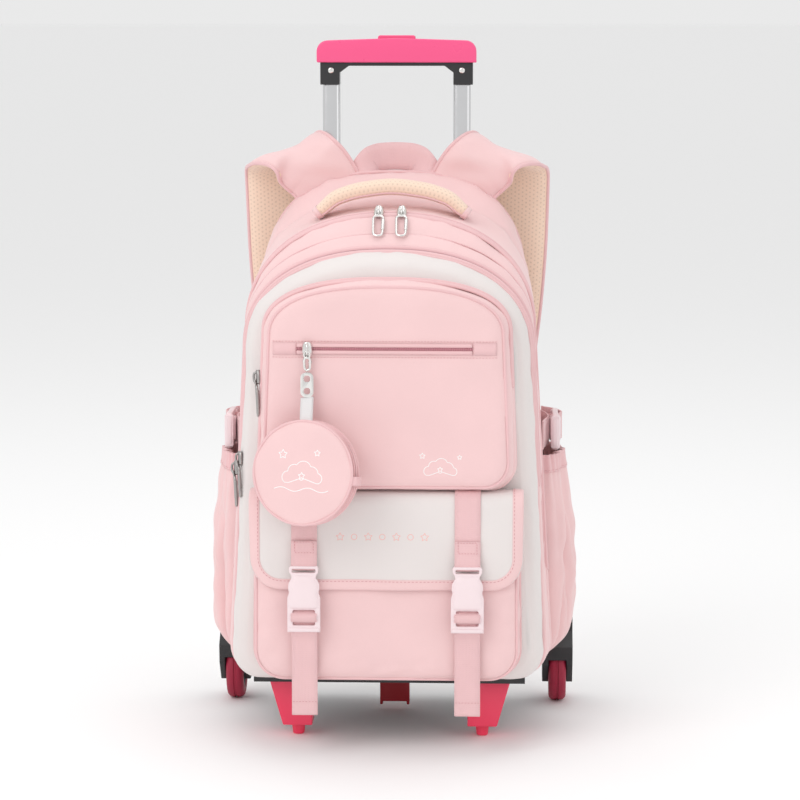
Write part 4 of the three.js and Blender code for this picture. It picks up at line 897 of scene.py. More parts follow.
def set_at(obj, place, turn=Matrix.Identity(4)):
    """Stands a moulding up to face the front, turns it and puts it at (across, depth, high)."""
    stand = Matrix.Rotation(math.pi / 2, 4, "X")
    seat = Matrix.Translation(Vector(placed(place)))
    obj.data.transform(seat @ turn @ Matrix.Scale(mm, 4) @ stand)
    return obj


def rounded(width, height, radius, x=0.0, y=0.0, steps=6):
    """A rectangle with round corners."""
    corners = []
    for quarter, (cx, cy) in enumerate([(1, 1), (-1, 1), (-1, -1), (1, -1)]):
        turn = np.linspace(quarter * math.pi / 2, (quarter + 1) * math.pi / 2, steps)
        corners.append(np.stack([x + cx * (width / 2 - radius) + radius * np.cos(turn),
                                 y + cy * (height / 2 - radius) + radius * np.sin(turn)], 1))
    return np.vstack(corners)


pale_plastic = plastic("pale_plastic", (0.90, 0.75, 0.77))
for side_name, sign in (("left", -1), ("right", 1)):
    right_edge = smooth_path(np.array(half_buckle), 70)
    edge = np.vstack([right_edge, (right_edge * (-1, 1))[::-1]])
    parts = []
    windows = [rounded(20, 3.4, 1.2, 0, 53.0), rounded(19, 4.2, 1.2, 0, 17.0), rounded(19, 4.2, 1.2, 0, 8.0)]
    parts.append(plate("body", [edge, *windows], 4.6, 0.9, pale_plastic))
    parts.append(plate("bar", [rounded(23.0, 3.2, 1.4, 0, 12.5)], 7.0, 1.2, pale_plastic))
    parts.append(plate("foot", [rounded(27.0, 3.6, 1.6, 0, 2.2)], 7.0, 1.2, pale_plastic))
    for part in parts:
        set_at(part, (sign * buckle_x, 220.6, buckle_foot))
    sizes = np.array([eased(buckle_body, at) for at in np.linspace(20, 49, 34)])
    swollen = [np.stack([sign * buckle_x + half * oval[:, 0], 220.6 + thick / 2 * oval[:, 1],
                         np.full(len(oval), buckle_foot + high)], 1)
               for high, (half, thick) in zip(np.linspace(20, 49, 34), sizes)]
    parts.append(skinned("swell", swollen, pale_plastic))
    fitted(joined(f"buckle_{side_name}", parts), replaces=[f"flap_buckle_{side_name}"])

# Side pockets
# Bottle pockets of the coated cloth, gathered at the hem by an elastic and pleated into the seams,
# so they stand off the bag in long soft folds.
side_base, side_height, side_reach, side_back, side_front, side_gap = 70.0, 178.0, 27.0, 20.0, 112.0, 0.8
side_rows = [(0, .3, .86), (.03, .42, .92), (.07, .58, .96), (.12, .72, .98), (.25, .9, 1), (.5, 1, 1),
             (.75, .92, .98), (.93, .74, .95), (1, .7, .94)]
hem_height = 15.0


def half_at(depth, high):
    """How far the bag's side stands out at a depth and height."""
    line = bag_outline(depth, 240)[:121]
    return np.interp(high, line[:, 1], line[:, 0])


def side_pocket_rows(sign, low, high, lift, columns=110, count=90, seed=61):
    """Rows of the pocket's cloth from one height share to another, lifted off by so much."""
    share = np.linspace(0, 1, columns)
    angle = math.pi * share
    rows = []
    draw = np.random.default_rng(seed)
    folds = [(draw.uniform(0.12, 0.9), draw.uniform(0.025, 0.06), draw.uniform(1.6, 4.2),
              draw.uniform(0.2, 0.75), draw.uniform(-0.16, 0.16)) for _ in range(10)]
    folds += [(0.78, 0.045, 8.5, 0.42, -0.22), (0.62, 0.05, 6.0, 0.7, 0.12)]
    phase = draw.uniform(0, 6.28, 3)
    for rise in np.linspace(low, high, count):
        bulge, spread = eased(side_rows, rise)
        z = side_base + side_height * rise
        reach = (side_front - side_back) / 2 * spread
        depth = (side_front + side_back) / 2 - reach * np.cos(angle)
        body = np.array([half_at(one, z) for one in depth[::6]])
        body = np.interp(share, share[::6], body)
        inside = np.sin(angle)
        gather = np.exp(-(1 - rise) * side_height / 26)
        waves = np.sin(share * 88 + phase[0] + 2.5 * rise) + 0.6 * np.sin(share * 57 + phase[1])
        pleat = waves * 1.15 * gather
        fold = np.zeros(columns)
        for middle, wide, tall, height, lean in folds:
            place = middle + lean * (rise - height)
            falls = np.exp(-((share - place) / wide) ** 2) * np.exp(-((rise - height) / 0.42) ** 2)
            fold -= tall * falls
        cross = rumple(np.stack([share * 150, np.full(columns, z)], 1), 34, seed + 1) * 0.7
        soft = fold + cross * (1 - gather)
        puff = soft * np.minimum(inside * 2.2, 1) + pleat * np.minimum(inside * 3, 1)
        out = inside ** 0.7 * side_reach * bulge
        slope = np.stack([np.gradient(out + body), np.gradient(depth)], 1)
        normal = np.stack([slope[:, 1], -slope[:, 0]], 1)
        normal /= np.linalg.norm(normal, axis=1, keepdims=True)
        move = puff + lift
        x = body + side_gap * inside - 3.0 * (1 - inside) ** 6 + np.maximum(
            out + normal[:, 0] * move, (0.4 + lift) * np.minimum(inside * 3, 1))
        rows.append(np.stack([sign * x, depth + normal[:, 1] * move, np.full(columns, z)], 1))
    return np.array(rows)


for side_name, sign, seed in (("left", -1, 61), ("right", 1, 77)):
    pocket = thickened(
        skinned(f"side_pocket_{side_name}_cloth", side_pocket_rows(sign, 0, 1, 0, seed=seed), pink_cloth,
                wrap=False), 1.3)
    fitted(pocket, replaces=[f"side_pocket_{side_name}"])
    hem_low = 1 - hem_height / side_height
    hem = thickened(
        skinned(f"side_pocket_{side_name}_hem", side_pocket_rows(sign, hem_low, 1.004, 0.9, 150, 12, seed),
                bias_cloth, wrap=False), 1.2)
    fitted(hem)
    stitch_row = side_pocket_rows(sign, hem_low + 0.012, hem_low + 0.02, 1.65, 150, 2, seed)[0]
    stitches = bars(f"side_pocket_{side_name}_stitches", [stitch_row[3:-3]], 3.0, 2.1, 0.25, thread)
    fitted(stitches)

# Side fastenings
# A strap of webbing sewn into the side seams above each side pocket, with a pale buckle that draws
# the bag in. Its spare end is folded back on itself.
fastening_z, fastening_half = 266.0, 12.5
for side_name, sign in (("left", -1), ("right", 1)):
    depths = np.linspace(15.5, 110.0, 40)
    out = np.array([half_at(one, fastening_z) for one in depths]) + 3.0
    out += 5.5 * np.sin(np.linspace(0, math.pi, 40)) ** 2
    path = np.stack([sign * out, depths, np.full(40, fastening_z)], 1)
    lower = strap("web", path, (0, 0, 1), 2 * fastening_half, web_thick, pink_webbing)
    spare = []
    for share, lift, high in [(0.42, 2.0, 0), (0.47, 9.0, 1), (0.40, 13.2, 2), (0.30, 11.0, 3),
                              (0.22, 6.5, 3.4), (0.18, 3.4, 3.6), (0.14, 2.6, 3.6)]:
        k = int(share * 39)
        spare.append((sign * (out[k] + lift), depths[k], fastening_z + high))
    upper = strap("web", smooth_path(spare, 40), (0, 0, 1), 2 * fastening_half - 1, web_thick, pink_webbing)
    fitted(joined(f"side_strap_{side_name}_web", [lower, upper]),
           replaces=[f"side_strap_{side_name}"])
    windows = [rounded(24, 4.4, 1.6, 0, high) for high in (-16.0, -6.5, 18.0)]
    body = plate("body", [rounded(32, 52, 6.0), *windows], 5.0, 1.1, pale_plastic)
    crown = plate("crown", [rounded(22, 17, 4.5, 0, 6.0)], 10.4, 2.2, pale_plastic)
    rungs = [plate("bar", [rounded(29, 3.4, 1.5, 0, high)], 8.0, 1.4, pale_plastic)
                  for high in (-11.2, -23.6, 23.6)]
    turn = Matrix.Rotation(sign * math.pi / 2, 4, "Z") @ Matrix.Rotation(math.pi / 2, 4, "Y")
    parts = [body, crown, *rungs]
    for part in parts:
        set_at(part, (sign * (half_at(66, fastening_z) + 14.5), 66.0, fastening_z), turn)
    fitted(joined(f"side_buckle_{side_name}_body", parts),
           replaces=[f"side_buckle_{side_name}"])

# Shoulder straps
# Foam pads with the coated cloth outside and peach air mesh inside, bound round their edge. They
# leave the bag's top, arch over and hang behind it.
strap_rows = [
    (-1, 0.350, -0.36, 0.905, 33, 0.94, 0.45), (0, 0.440, -0.35, 0.970, 31, 0.97, 0.65),
    (1, 0.530, -0.36, 1.006, 24, 1.00, 0.90), (2, 0.645, -0.16, 1.029, 16, 1.00, 1.00),
    (3, 0.745, 0.28, 1.018, 17, 1.00, 1.00), (4, 0.765, 0.72, 0.985, 9, 1.00, 1.00),
    (5, 0.755, 0.95, 0.860, 2, 1.00, 1.00), (6, 0.735, 0.98, 0.740, 0, 0.98, 1.00),
    (7, 0.705, 0.84, 0.620, 0, 0.92, 0.95), (8, 0.680, 0.66, 0.520, 0, 0.78, 0.80),
    (9, 0.672, 0.58, 0.480, 0, 0.55, 0.45),
]
strap_width, strap_pad, strap_reach = 62.0, 11.0, 36.0


def strap_spot(side, back, up, sign):
    return sign * side * bag_half, -back * strap_reach, bag_base + up * bag_height


def air_mesh(name, colour, pitch=3.4):
    """Spacer mesh: small round holes in staggered rows over a foam back, the holes painted darker as the
    shade inside them.
    """
    made, start, shader = finish(name, colour, 0.8, Sheen_Weight=0.3, Specular_IOR_Level=0.2)
    across, along, _ = start.node("ShaderNodeUVMap", {"uv_map": "cloth"}).split()
    turn = 2 * math.pi / pitch
    waves = ((across * turn).sin()
             + (across * (-0.5 * turn) + along * (0.866 * turn)).sin()
             + (across * (-0.5 * turn) + along * (-0.866 * turn)).sin())
    holes = start.node("ShaderNodeMapRange", {"interpolation_type": "SMOOTHSTEP"},
                       {"Value": waves, "From Min": 0.6, "From Max": 2.2})
    low = tuple(c * 0.84 for c in colour)
    # The holes are painted darker than the mesh: painted shade
    feed(shader, "Base Color", holes.mix((*colour, 1), (*low, 1)))
    height = holes * -1.0 + start.noise(start.node("ShaderNodeTexCoord", output="Object"), 1500.0) * 0.2
    bump = start.node("ShaderNodeBump", None, {"Strength": 0.35, "Distance": 0.5 * mm, "Height": height})
    feed(shader, "Normal", bump)
    return made


peach_mesh = air_mesh("peach_mesh", (0.90, 0.69, 0.55))
pad_columns = 26


def pad_section(crown, sign, edge=0.965):
    """One face of a pad from edge to edge, and its flat underside back: (across, out) shares."""
    place = np.linspace(-edge, edge, pad_columns)
    lift = (1 - np.abs(place / edge) ** 5) * crown * 0.5 + 0.08
    face = np.stack([place, sign * lift], 1)
    return np.vstack([face, [[edge, sign * 0.02], [0, sign * 0.02], [-edge, sign * 0.02]]])


for side_name, sign, seed in (("left", -1, 81), ("right", 1, 91)):
    rows = np.array([eased(strap_rows, at) for at in np.linspace(-1, 9, 132)])
    path = np.array([strap_spot(*row[:3], sign) for row in rows])
    angle = np.radians(rows[:, 3])
    across = np.stack([sign * np.cos(angle), 0 * angle, -np.sin(angle)], 1)
    half, thick = strap_width / 2 * rows[:, 4], strap_pad * rows[:, 5]
    outer_rows = band_rows(path, across, half, thick, pad_section(1.0, -sign))
    inner_rows = band_rows(path, across, half, thick, pad_section(0.92, sign))
    _, out = frames(path, across)
    crease = rumple(outer_rows * (0.45, 1.4, 1.4), 26, seed) * 0.6
    crease[:, pad_columns:] = 0
    crease *= np.sin(np.linspace(0, math.pi, outer_rows.shape[1]))[None, :] ** 0.5
    outer_rows -= sign * out[:, None] * crease[..., None]
    outer = skinned(f"strap_{side_name}_outer", outer_rows, pink_cloth)
    inner = skinned(f"strap_{side_name}_inner", inner_rows, peach_mesh, run=measured(inner_rows))
    edges = []
    for edge in (-1, 1):
        rim = path + frames(path, across)[0] * (half * 0.985)[:, None] * edge
        edges.append(skinned("edge", tube_rows(rim, 1.7, 10, closed=False), bias_cloth))
    rim_piece = joined(f"strap_{side_name}_binding", edges)
    fitted(outer, replaces=[f"shoulder_strap_{side_name}"])
    fitted(inner)
    fitted(rim_piece)

# Strap webbing and adjusters
# Pink webbing from each strap's end, through a ladder adjuster, down to the bag's bottom corner.
strap_web_rows = [(.672, .58, .4757), (.68, .5, .4), (.72, .36, .27), (.79, .16, .13), (.82, .1, .07)]
for side_name, sign in (("left", -1), ("right", 1)):
    path = smooth_path([strap_spot(*row, sign) for row in strap_web_rows], 80)
    fitted(strap(f"strap_webbing_{side_name}_web", path, (1, 0, 0), 25.0, 1.6, pink_webbing),
           replaces=[f"strap_webbing_{side_name}"])
adjuster_web = np.array(strap_web_rows[:2])
for side_name, sign in (("left", -1), ("right", 1)):
    top, low = (np.array(strap_spot(*row, sign)) for row in adjuster_web)
    slant = math.atan2((top - low)[1], (top - low)[2])
    slots = [rounded(27, 4.8, 1.4, 0, high) for high in (-6.0, 6.0)]
    parts = [plate("body", [rounded(36, 30, 4.0), *slots], 3.6, 1.0, pale_plastic),
             plate("bar", [rounded(31, 3.4, 1.5, 0, 0.0)], 5.6, 1.3, pale_plastic),
             plate("lip", [rounded(34, 3.4, 1.5, 0, 13.0)], 5.6, 1.3, pale_plastic)]
    middle = (top + low) / 2
    for part in parts:
        set_at(part, middle - np.array([0, 3.4, 0]), Matrix.Rotation(slant, 4, "X"))
    fitted(joined(f"strap_adjuster_{side_name}_body", parts),
           replaces=[f"strap_adjuster_{side_name}"])

# Back panel
# Foam under the coated cloth with three raised pads of peach air mesh, quilted apart by channels:
# two beside the spine and one across the waist.
back_outline = bag_outline(0.0)


def back_rows(line, depth, seam, rise, seed, steps=40):
    """Rows of a pad on the back, from its seam to its middle."""
    middle = line.mean(0)
    rows = []
    for share in np.linspace(1, 0.01, steps):
        flat = middle + (line - middle) * share
        reach = np.linalg.norm(line - middle, axis=1) * (1 - share)
        lift = rise * (1 - np.exp(-reach / seam))
        spots = np.stack([flat[:, 0], np.zeros(len(flat)), flat[:, 1]], 1)
        lift = lift + rumple(spots, 70, seed) * 0.35 * (1 - np.exp(-reach / 20))
        rows.append(np.stack([flat[:, 0], depth - lift, flat[:, 1]], 1))
    return rows


rim = [ring(back_outline, depth, grow - 3.2)
       for depth, grow in ((13.6, 0.0), (10, 1.2), (6, 1.6), (3.4, 0.9))]
back_piece = skinned("back_panel_cloth", rim + back_rows(back_outline - outward(back_outline) * 3.4, 3.0,
                                                         4.0, 0.6, 101), pink_cloth)
fitted(back_piece, replaces=["back_panel"])
pad_places = [(-48.0, 320.0, 74.0, 206.0, 20.0), (48.0, 320.0, 74.0, 206.0, 20.0),
              (0.0, 152.0, 176.0, 96.0, 24.0)]
for number, (x, z, wide, tall, bend) in enumerate(pad_places):
    line = evened(rounded(wide, tall, bend, x, z, 12), 200)
    for _ in range(4):
        line = (np.roll(line, 1, 0) + 2 * line + np.roll(line, -1, 0)) / 4
    rows = back_rows(line, 3.4, 7.0, 2.5, 103 + number)
    pad = skinned(f"back_pad_{number}", rows, peach_mesh, run=(np.zeros(201), np.zeros(len(rows))))
    plan = pad.data.uv_layers["cloth"].data
    for loop in pad.data.loops:
        spot = pad.data.vertices[loop.vertex_index].co
        plan[loop.index].uv = (spot.x / mm, spot.z / mm)
    fitted(pad)
    piping = skinned("piping", tube_rows(ring(line, 2.9), 1.3, 8), bias_cloth, ends=False)
    fitted(joined(f"back_pad_{number}_piping", [piping]))

# Carry handle
# A thick padded grab handle of the peach mesh over the top, its ends tucked into pink tabs.
carry_span, carry_rise, carry_pad, carry_width, carry_depth = 134.0, 25.0, 13.0, 27.0, 84.0
carry_table = [(-1, .02, .7, .9), (-.91, .22, .9, .98), (-.72, .62, 1.05, 1), (-.36, .9, 1.1, 1),
               (0, 1, 1.1, 1), (.36, .9, 1.1, 1), (.72, .62, 1.05, 1), (.91, .22, .9, .98), (1, .02, .7, .9)]
round_pad = [(math.copysign(abs(math.cos(turn)) ** 0.72, math.cos(turn)),
              0.5 * math.copysign(abs(math.sin(turn)) ** 0.85, math.sin(turn)))
             for turn in np.linspace(0, 2 * math.pi, 36, endpoint=False)]
carry_foot = 457.9
rows = np.array([eased(carry_table, at) for at in np.linspace(-1, 1, 110)])
path = np.stack([np.linspace(-1, 1, 110) * carry_span / 2, np.full(110, carry_depth),
                 carry_foot + carry_rise * rows[:, 0]], 1)
pad_rows = band_rows(path, (0, 1, 0), carry_width / 2 * rows[:, 2], carry_pad * rows[:, 1], round_pad)
carry = skinned("carry_handle_pad", pad_rows, peach_mesh, run=measured(pad_rows))
fitted(carry, replaces=["carry_handle"])
seams = []
for edge in (-1, 1):
    line = band_rows(path, (0, 1, 0), carry_width / 2 * rows[:, 2], carry_pad * rows[:, 1],
                     [(edge * 0.86, 0.34)])[:, 0]
    seams.append(skinned("seam", tube_rows(line, 0.9, 8, closed=False), bias_cloth))
for end in (slice(0, 4), slice(106, 110)):
    tab = band_rows(path[end], (0, 1, 0), carry_width / 2 * rows[end, 2] + 1.2,
                    carry_pad * rows[end, 1] + 2.0, round_pad)
    seams.append(skinned("tab", tab, pink_cloth))
fitted(joined("carry_handle_trim", seams))

# Hang loop
# A loop of the pink webbing behind the carry handle, leaning back over the panel's top.
loop_span, loop_rise, loop_reach, loop_band, loop_foot = 66.0, 15.5, 20.0, 25.0, 490.0
loop_table = [(-1, .2, -.3, 50), (-.86, .4, .25, 62), (-.62, .74, .86, 76), (-.36, .94, 1, 84),
              (0, 1, 1.03, 86), (.36, .94, 1, 84), (.62, .74, .86, 76), (.86, .4, .25, 62), (1, .2, -.3, 50)]
loop_at = np.linspace(-1, 1, 90)
rows = np.array([eased(loop_table, at) for at in loop_at])
tip = np.radians(rows[:, 2])
path = np.stack([loop_at * loop_span / 2, loop_reach * (1 - rows[:, 0]),
                 loop_foot + loop_rise * rows[:, 1]], 1)
hang_loop = strap("hang_loop_band", path, np.stack([0 * tip, -np.cos(tip), np.sin(tip)], 1), loop_band, 1.8,
                  pink_webbing)
fitted(hang_loop, replaces=["hang_loop"])

# Zip pullers
# Cast sliders with long slotted pulls, bright nickel on the two upper ones and darker at the side.
def metal(name, colour, roughness=0.28, brushed=0.0):
    made, start, shader = finish(name, colour, roughness, Metallic=1.0)
    place = start.node("ShaderNodeTexCoord", output="Object")
    feed(shader, "Roughness", start.noise(place, 90.0) * 0.2 + (roughness - 0.08))
    if brushed:
        x, y, z = place.split()
        grain = start.node("ShaderNodeCombineXYZ", None, {"X": x * 3000.0, "Y": y * 3000.0, "Z": z * 12.0})
        bump = start.node("ShaderNodeBump", None, {"Strength": brushed, "Distance": 0.05 * mm,
                                                   "Height": start.noise(grain, 1.0)})
        feed(shader, "Normal", bump)
    return made


def dressed(node, material, body="bag_and_frame", bevel=0.8, segments=3):
    """A hard solid taken over, its facets merged and its edges rounded, for its finer piece."""
    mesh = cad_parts[node].data.copy()
    obj = bpy.data.objects.new(node + "_body", mesh)
    bpy.context.collection.objects.link(obj)
    bm = bmesh.new()
    bm.from_mesh(mesh)
    bmesh.ops.remove_doubles(bm, verts=bm.verts, dist=2e-6)
    bmesh.ops.dissolve_limit(bm, angle_limit=math.radians(1.5), verts=bm.verts, edges=bm.edges)
    bmesh.ops.recalc_face_normals(bm, faces=bm.faces)
    for face in bm.faces:
        face.smooth = True
    bm.to_mesh(mesh)
    bm.free()
    mesh.materials.clear()
    mesh.materials.append(material)
    rounding = obj.modifiers.new("rounding", "BEVEL")
    rounding.width, rounding.segments = bevel * mm, segments
    rounding.limit_method, rounding.angle_limit = "ANGLE", math.radians(28)
    rounding.harden_normals = True
    return fitted(applied(obj), body, [node])


nickel = metal("nickel", (0.78, 0.77, 0.75), 0.22)
dark_nickel = metal("dark_nickel", (0.42, 0.40, 0.39), 0.3)


def puller(name, node, top, down, out, length, cast_metal, wide=4.3):
    """A slider with its bridge, and a long wire pull with a gate on one side, laid down the cloth."""
    flip = np.array([1.0, -1.0, 1.0])
    down, out = (np.array(one, float) / np.linalg.norm(one) for one in (down, out))
    side = np.cross(down * flip, out * flip) * flip

    def at(line):
        line = np.asarray(line, float)
        return np.array(top) + line[:, :1] * side + line[:, 1:2] * down + line[:, 2:] * out

    block = [(5.6, 2.6), (5.9, 3.2), (4.5, 4.2), (1.5, 4.5),
             (-1.5, 4.4), (-4.5, 3.7), (-5.9, 2.8), (-6.1, 2.2)]
    shell = [[(half * u, place, 0.2 + (1 - abs(u) ** 3) * 0.9 + 2.6 * w) for u, w in
              ((-1, 0.1), (-0.94, 0.7), (-0.6, 1), (0, 1.05), (0.6, 1), (0.94, 0.7), (1, 0.1), (0, -0.2))]
             for place, half in block]
    cast = [skinned("slider", np.array([at(row) for row in shell]), cast_metal)]
    arch = [(0, -4.2, 3.0), (0, -3.6, 4.7), (0, -1.4, 5.6), (0, 1.6, 5.6), (0, 3.8, 4.8), (0, 4.6, 3.0)]
    cast.append(skinned("bridge", tube_rows(smooth_path(at(arch), 24), 1.0, 10, closed=False), cast_metal))
    eye = np.linspace(0, 2 * math.pi, 28, endpoint=False)
    ring_line = np.stack([2.5 * np.cos(eye), 4.6 + 3.1 * np.sin(eye), 4.4 - 0.9 * np.sin(eye)], 1)
    cast.append(skinned("eye", tube_rows(at(ring_line), 0.8, 8), cast_metal, ends=False))
    low, high = 7.0, length
    loop = [(0, low, 3.4), (wide * 0.7, low + 0.6, 3.3), (wide, low + 3, 3.0), (wide * 0.94, high - 5, 2.0),
            (wide * 0.8, high - 1.6, 1.9), (0, high, 1.9), (-wide * 0.8, high - 1.6, 1.9),
            (-wide * 0.94, high - 5, 2.0), (-wide, low + 3, 3.0), (-wide * 0.7, low + 0.6, 3.3),
            (0, low, 3.4)]
    cast.append(skinned("pull", tube_rows(smooth_path(at(loop), 90)[:-1], 1.15, 10), cast_metal,
                                ends=False))
    gate = [(-wide * 0.98, low + 4, 2.95), (-wide * 0.95, high - 7, 2.2)]
    cast.append(skinned("gate", tube_rows(smooth_path(at(gate), 16), 1.6, 10, closed=False), cast_metal))
    fitted(joined(name, cast), replaces=[node])


def top_at(depth, across):
    """The height of the bag's top at a depth and place across."""
    line = bag_outline(depth)
    upper = line[line[:, 1] > bag_base + 0.5 * bag_height]
    order = np.argsort(upper[:, 0])
    return np.interp(across, upper[order, 0], upper[order, 1])


slope = np.array([0.0, 30.0, top_at(154, 10) - top_at(124, 10)])
for side_name, sign in (("left", -1), ("right", 1)):
    x = sign * 10.0
    puller(f"main_puller_{side_name}_cast", f"main_puller_{side_name}", (x, 121.5, top_at(121.5, x) + 1.6),
           slope, (0, -slope[2], 30.0), 30.0, nickel)
for name, (outline_at, depth, high, lift) in {
        "middle_puller": (bag_outline, 156.0, 243.0, 1.6),
        "front_puller_upper": (upper_outline, 193.3, 327.0, 1.6),
        "front_puller_lower": (bag_outline, 173.0, 254.0, 0.4)}.items():
    line = outline_at(depth, 240)[:121]
    reach = np.interp(high, line[:, 1], line[:, 0])
    puller(name + "_cast", name, (-reach - lift, depth, high), (0, 0.03, -1), (-1, 0.16, 0), 33.0,
           dark_nickel)
puller("pocket_puller_cast", "pocket_puller", (-66.0, welt_depth + 1.2, welt_z), (0, 0, -1), (0, 1, 0), 18.0,
       nickel, 2.6)

# Coin purse
# A round zipped purse hung from the upper pocket's puller by a clasp and a tab of pale webbing: two
# crowned faces, corded where they meet the gusset, and a zip round its upper half.
purse_turn, purse_tilt = math.radians(15), math.radians(8)
purse_low, purse_high = (Vector(corner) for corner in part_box("purse"))
purse_middle = (purse_low + purse_high) / 2
swing = Matrix.Rotation(-purse_turn, 4, "Z") @ Matrix.Rotation(-purse_tilt, 4, "X")
purse_turns = np.linspace(0, 2 * math.pi, 160, endpoint=False)


def purse_ring(radius, out):
    return np.stack([radius * np.cos(purse_turns), np.full(160, float(out)),
                     radius * np.sin(purse_turns)], 1)


def hung(obj):
    """Puts a piece made round the purse's middle where the purse hangs."""
    obj.data.transform(Matrix.Translation(purse_middle) @ swing @ Matrix.Translation(
        -Vector((0, back_plane, 0))))
    return obj


face = [(43.2, 7.6), (42.6, 8.6), (41.5, 9.2), (39, 9.7), (35, 10.1), (28, 10.4), (20, 10.6), (10, 10.7),
        (0.5, 10.75)]
profile = ([(radius, -out) for radius, out in face[::-1]] + [(43.4, -6.4), (43.0, -2.6), (42.6, 0.0),
           (43.0, 2.6), (43.4, 6.4)] + face)
purse_rows = []
for radius, out in profile:
    rows = purse_ring(radius, out)
    dent = rumple(rows, 26, 111) * 0.28
    rows[:, 1] += dent * (1 if abs(out) > 7 else 0) * math.copysign(1, out)
    purse_rows.append(rows * (1 + rumple(rows, 15, 112)[:, None] * (0.0025, 0, 0.0025)))
purse = hung(skinned("purse_case", purse_rows, pink_cloth))
fitted(purse, replaces=["purse"])
rims = [skinned("rim", tube_rows(purse_ring(43.4, out), 1.25, 8), bias_cloth, ends=False)
        for out in (-8.0, 8.0)]
lips = [skinned("lip", tube_rows(purse_ring(43.6, out), 0.75, 8), bias_cloth, ends=False)
        for out in (-2.1, 2.1)]
fitted(hung(joined("purse_piping", rims + lips)))
zip_run = purse_ring(43.3, 0.0)[2:78]
fitted(hung(bars("purse_coil", [zip_run], 1.5, 2.6, 0.5, coil, facing=(0.0, 1.0, 0.0))))
side_tab = strap("tab", smooth_path([(43.6, -7.5, -5), (46.6, -5.5, -5), (47.8, 0, -5), (46.6, 5.5, -5),
                                     (43.6, 7.5, -5)], 24), (0, 0, 1), 8.0, 1.2, bias_cloth)
fitted(hung(joined("purse_side_tab", [side_tab])))
drawing = [cloud(0, -4, 17.0), star(-17, 15, 4.0), star(13, 17, 2.8), star(0, -2.5, 3.0),
           np.stack([np.linspace(-24, 24, 60), -14 + 1.6 * np.sin(np.linspace(0, 12.6, 60))], 1)]
strokes = []
for number, line in enumerate(drawing):
    flat = np.column_stack([line[:, 0], np.full(len(line), 10.8), line[:, 1]])
    reach = np.hypot(flat[:, 0], flat[:, 2])
    flat[:, 1] = np.interp(reach, [0, 10, 20, 28, 35, 39, 41.5], [10.75, 10.7, 10.6, 10.4, 10.1, 9.7, 9.2])
    flat[:, 1] += rumple(flat * (1, 0, 1) + (0, 10.6, 0), 26, 111) * 0.28 - 0.1
    strokes.append(skinned("stroke", tube_rows(flat, 0.42, 8, closed=number < 4), white_print,
                           ends=number == 4))
fitted(hung(joined("purse_print", strokes)))
grey_webbing = webbing("grey_webbing", (0.82, 0.80, 0.80), 1.1)
strap_low, strap_high = (Vector(corner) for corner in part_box("purse_strap"))
tab_path = [((strap_low.x + strap_high.x) / 2 / mm, (back_plane - y) / mm, z / mm) for y, z in (
    (strap_low.y + 0.0016, strap_low.z - 0.002), ((strap_low.y + strap_high.y) / 2, strap_low.z + 0.008),
    (strap_high.y - 0.0016, strap_high.z - 0.001))]
tab_side = (math.cos(purse_turn), math.sin(purse_turn), 0)
purse_tab = strap("purse_tab", smooth_path(tab_path, 20), tab_side, 11.0, 2.8, grey_webbing)
fitted(purse_tab, replaces=["purse_strap"])
dressed("purse_clasp", nickel, bevel=0.5)

# Trolley tubes
# Three telescoping stages of flat-sided drawn steel tube, polished, each pair sliding in the next.
steel = metal("steel", (0.69, 0.69, 0.70), 0.16, brushed=0.15)


def tube_piece(name, sign, width, deep, low, high, body, wall_in=1.2):
    """A tube with rounded corners, open at its ends."""
    across, depth = sign * 59.5, -20.0
    section = rounded(width, deep, deep * 0.32, steps=8)
    inner = rounded(width - 2 * wall_in, deep - 2 * wall_in, deep * 0.32 - wall_in, steps=8)
    rows = []
    for shape, z in ((inner, low), (section, low), (section, high - 0.5), (section * 0.985, high),
                     (inner, high), (inner, high - 8)):
        rows.append(np.stack([across + shape[:, 0], depth - shape[:, 1], np.full(len(shape), z)], 1))
    tube = skinned(name + "_steel", rows, steel, ends=False)
    tube.data.set_sharp_from_angle(angle=math.radians(35))
    return fitted(tube, body, [name])


for side_name, sign in (("left", -1), ("right", 1)):
    tube_piece(f"outer_tube_{side_name}", sign, 22.8, 19.3, 62.0, 466.0, "bag_and_frame")
    tube_piece(f"inner_tube_{side_name}", sign, 16.0, 12.5, 179.7, 589.6, "handle_inner")
    dressed(f"middle_tube_{side_name}", steel, "handle_middle", 0.3, 2)

# Handle grip
# A black nylon bridge riveted to the upper tubes, with a glossy hot-pink shell over its top and the
# release button in the shell's middle.
black_plastic = plastic("black_plastic", (0.022, 0.022, 0.024), 0.42, grain=2.0)
hot_pink = plastic("hot_pink", (0.93, 0.10, 0.27), 0.3)
dressed("grip", black_plastic, "handle_inner", 1.6, 4)
dressed("grip_cover", hot_pink, "handle_inner", 1.8, 5)
dressed("grip_button", hot_pink, "handle_button", 0.8, 3)
rivets = []
grip_front = -(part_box("grip")[0].y - back_plane) / mm
for sign in (-1, 1):
    head = np.array([[(radius * math.cos(turn) + sign * 59.5, grip_front + rise,
                       583.0 + radius * math.sin(turn))
                      for turn in np.linspace(0, 2 * math.pi, 24, endpoint=False)]
                     for radius, rise in ((2.9, -0.4), (2.9, 0.3), (2.4, 0.9), (1.4, 1.2), (0.2, 1.3))])
    rivets.append(skinned("rivet", head, nickel))
fitted(joined("grip_rivets", rivets), "handle_inner")

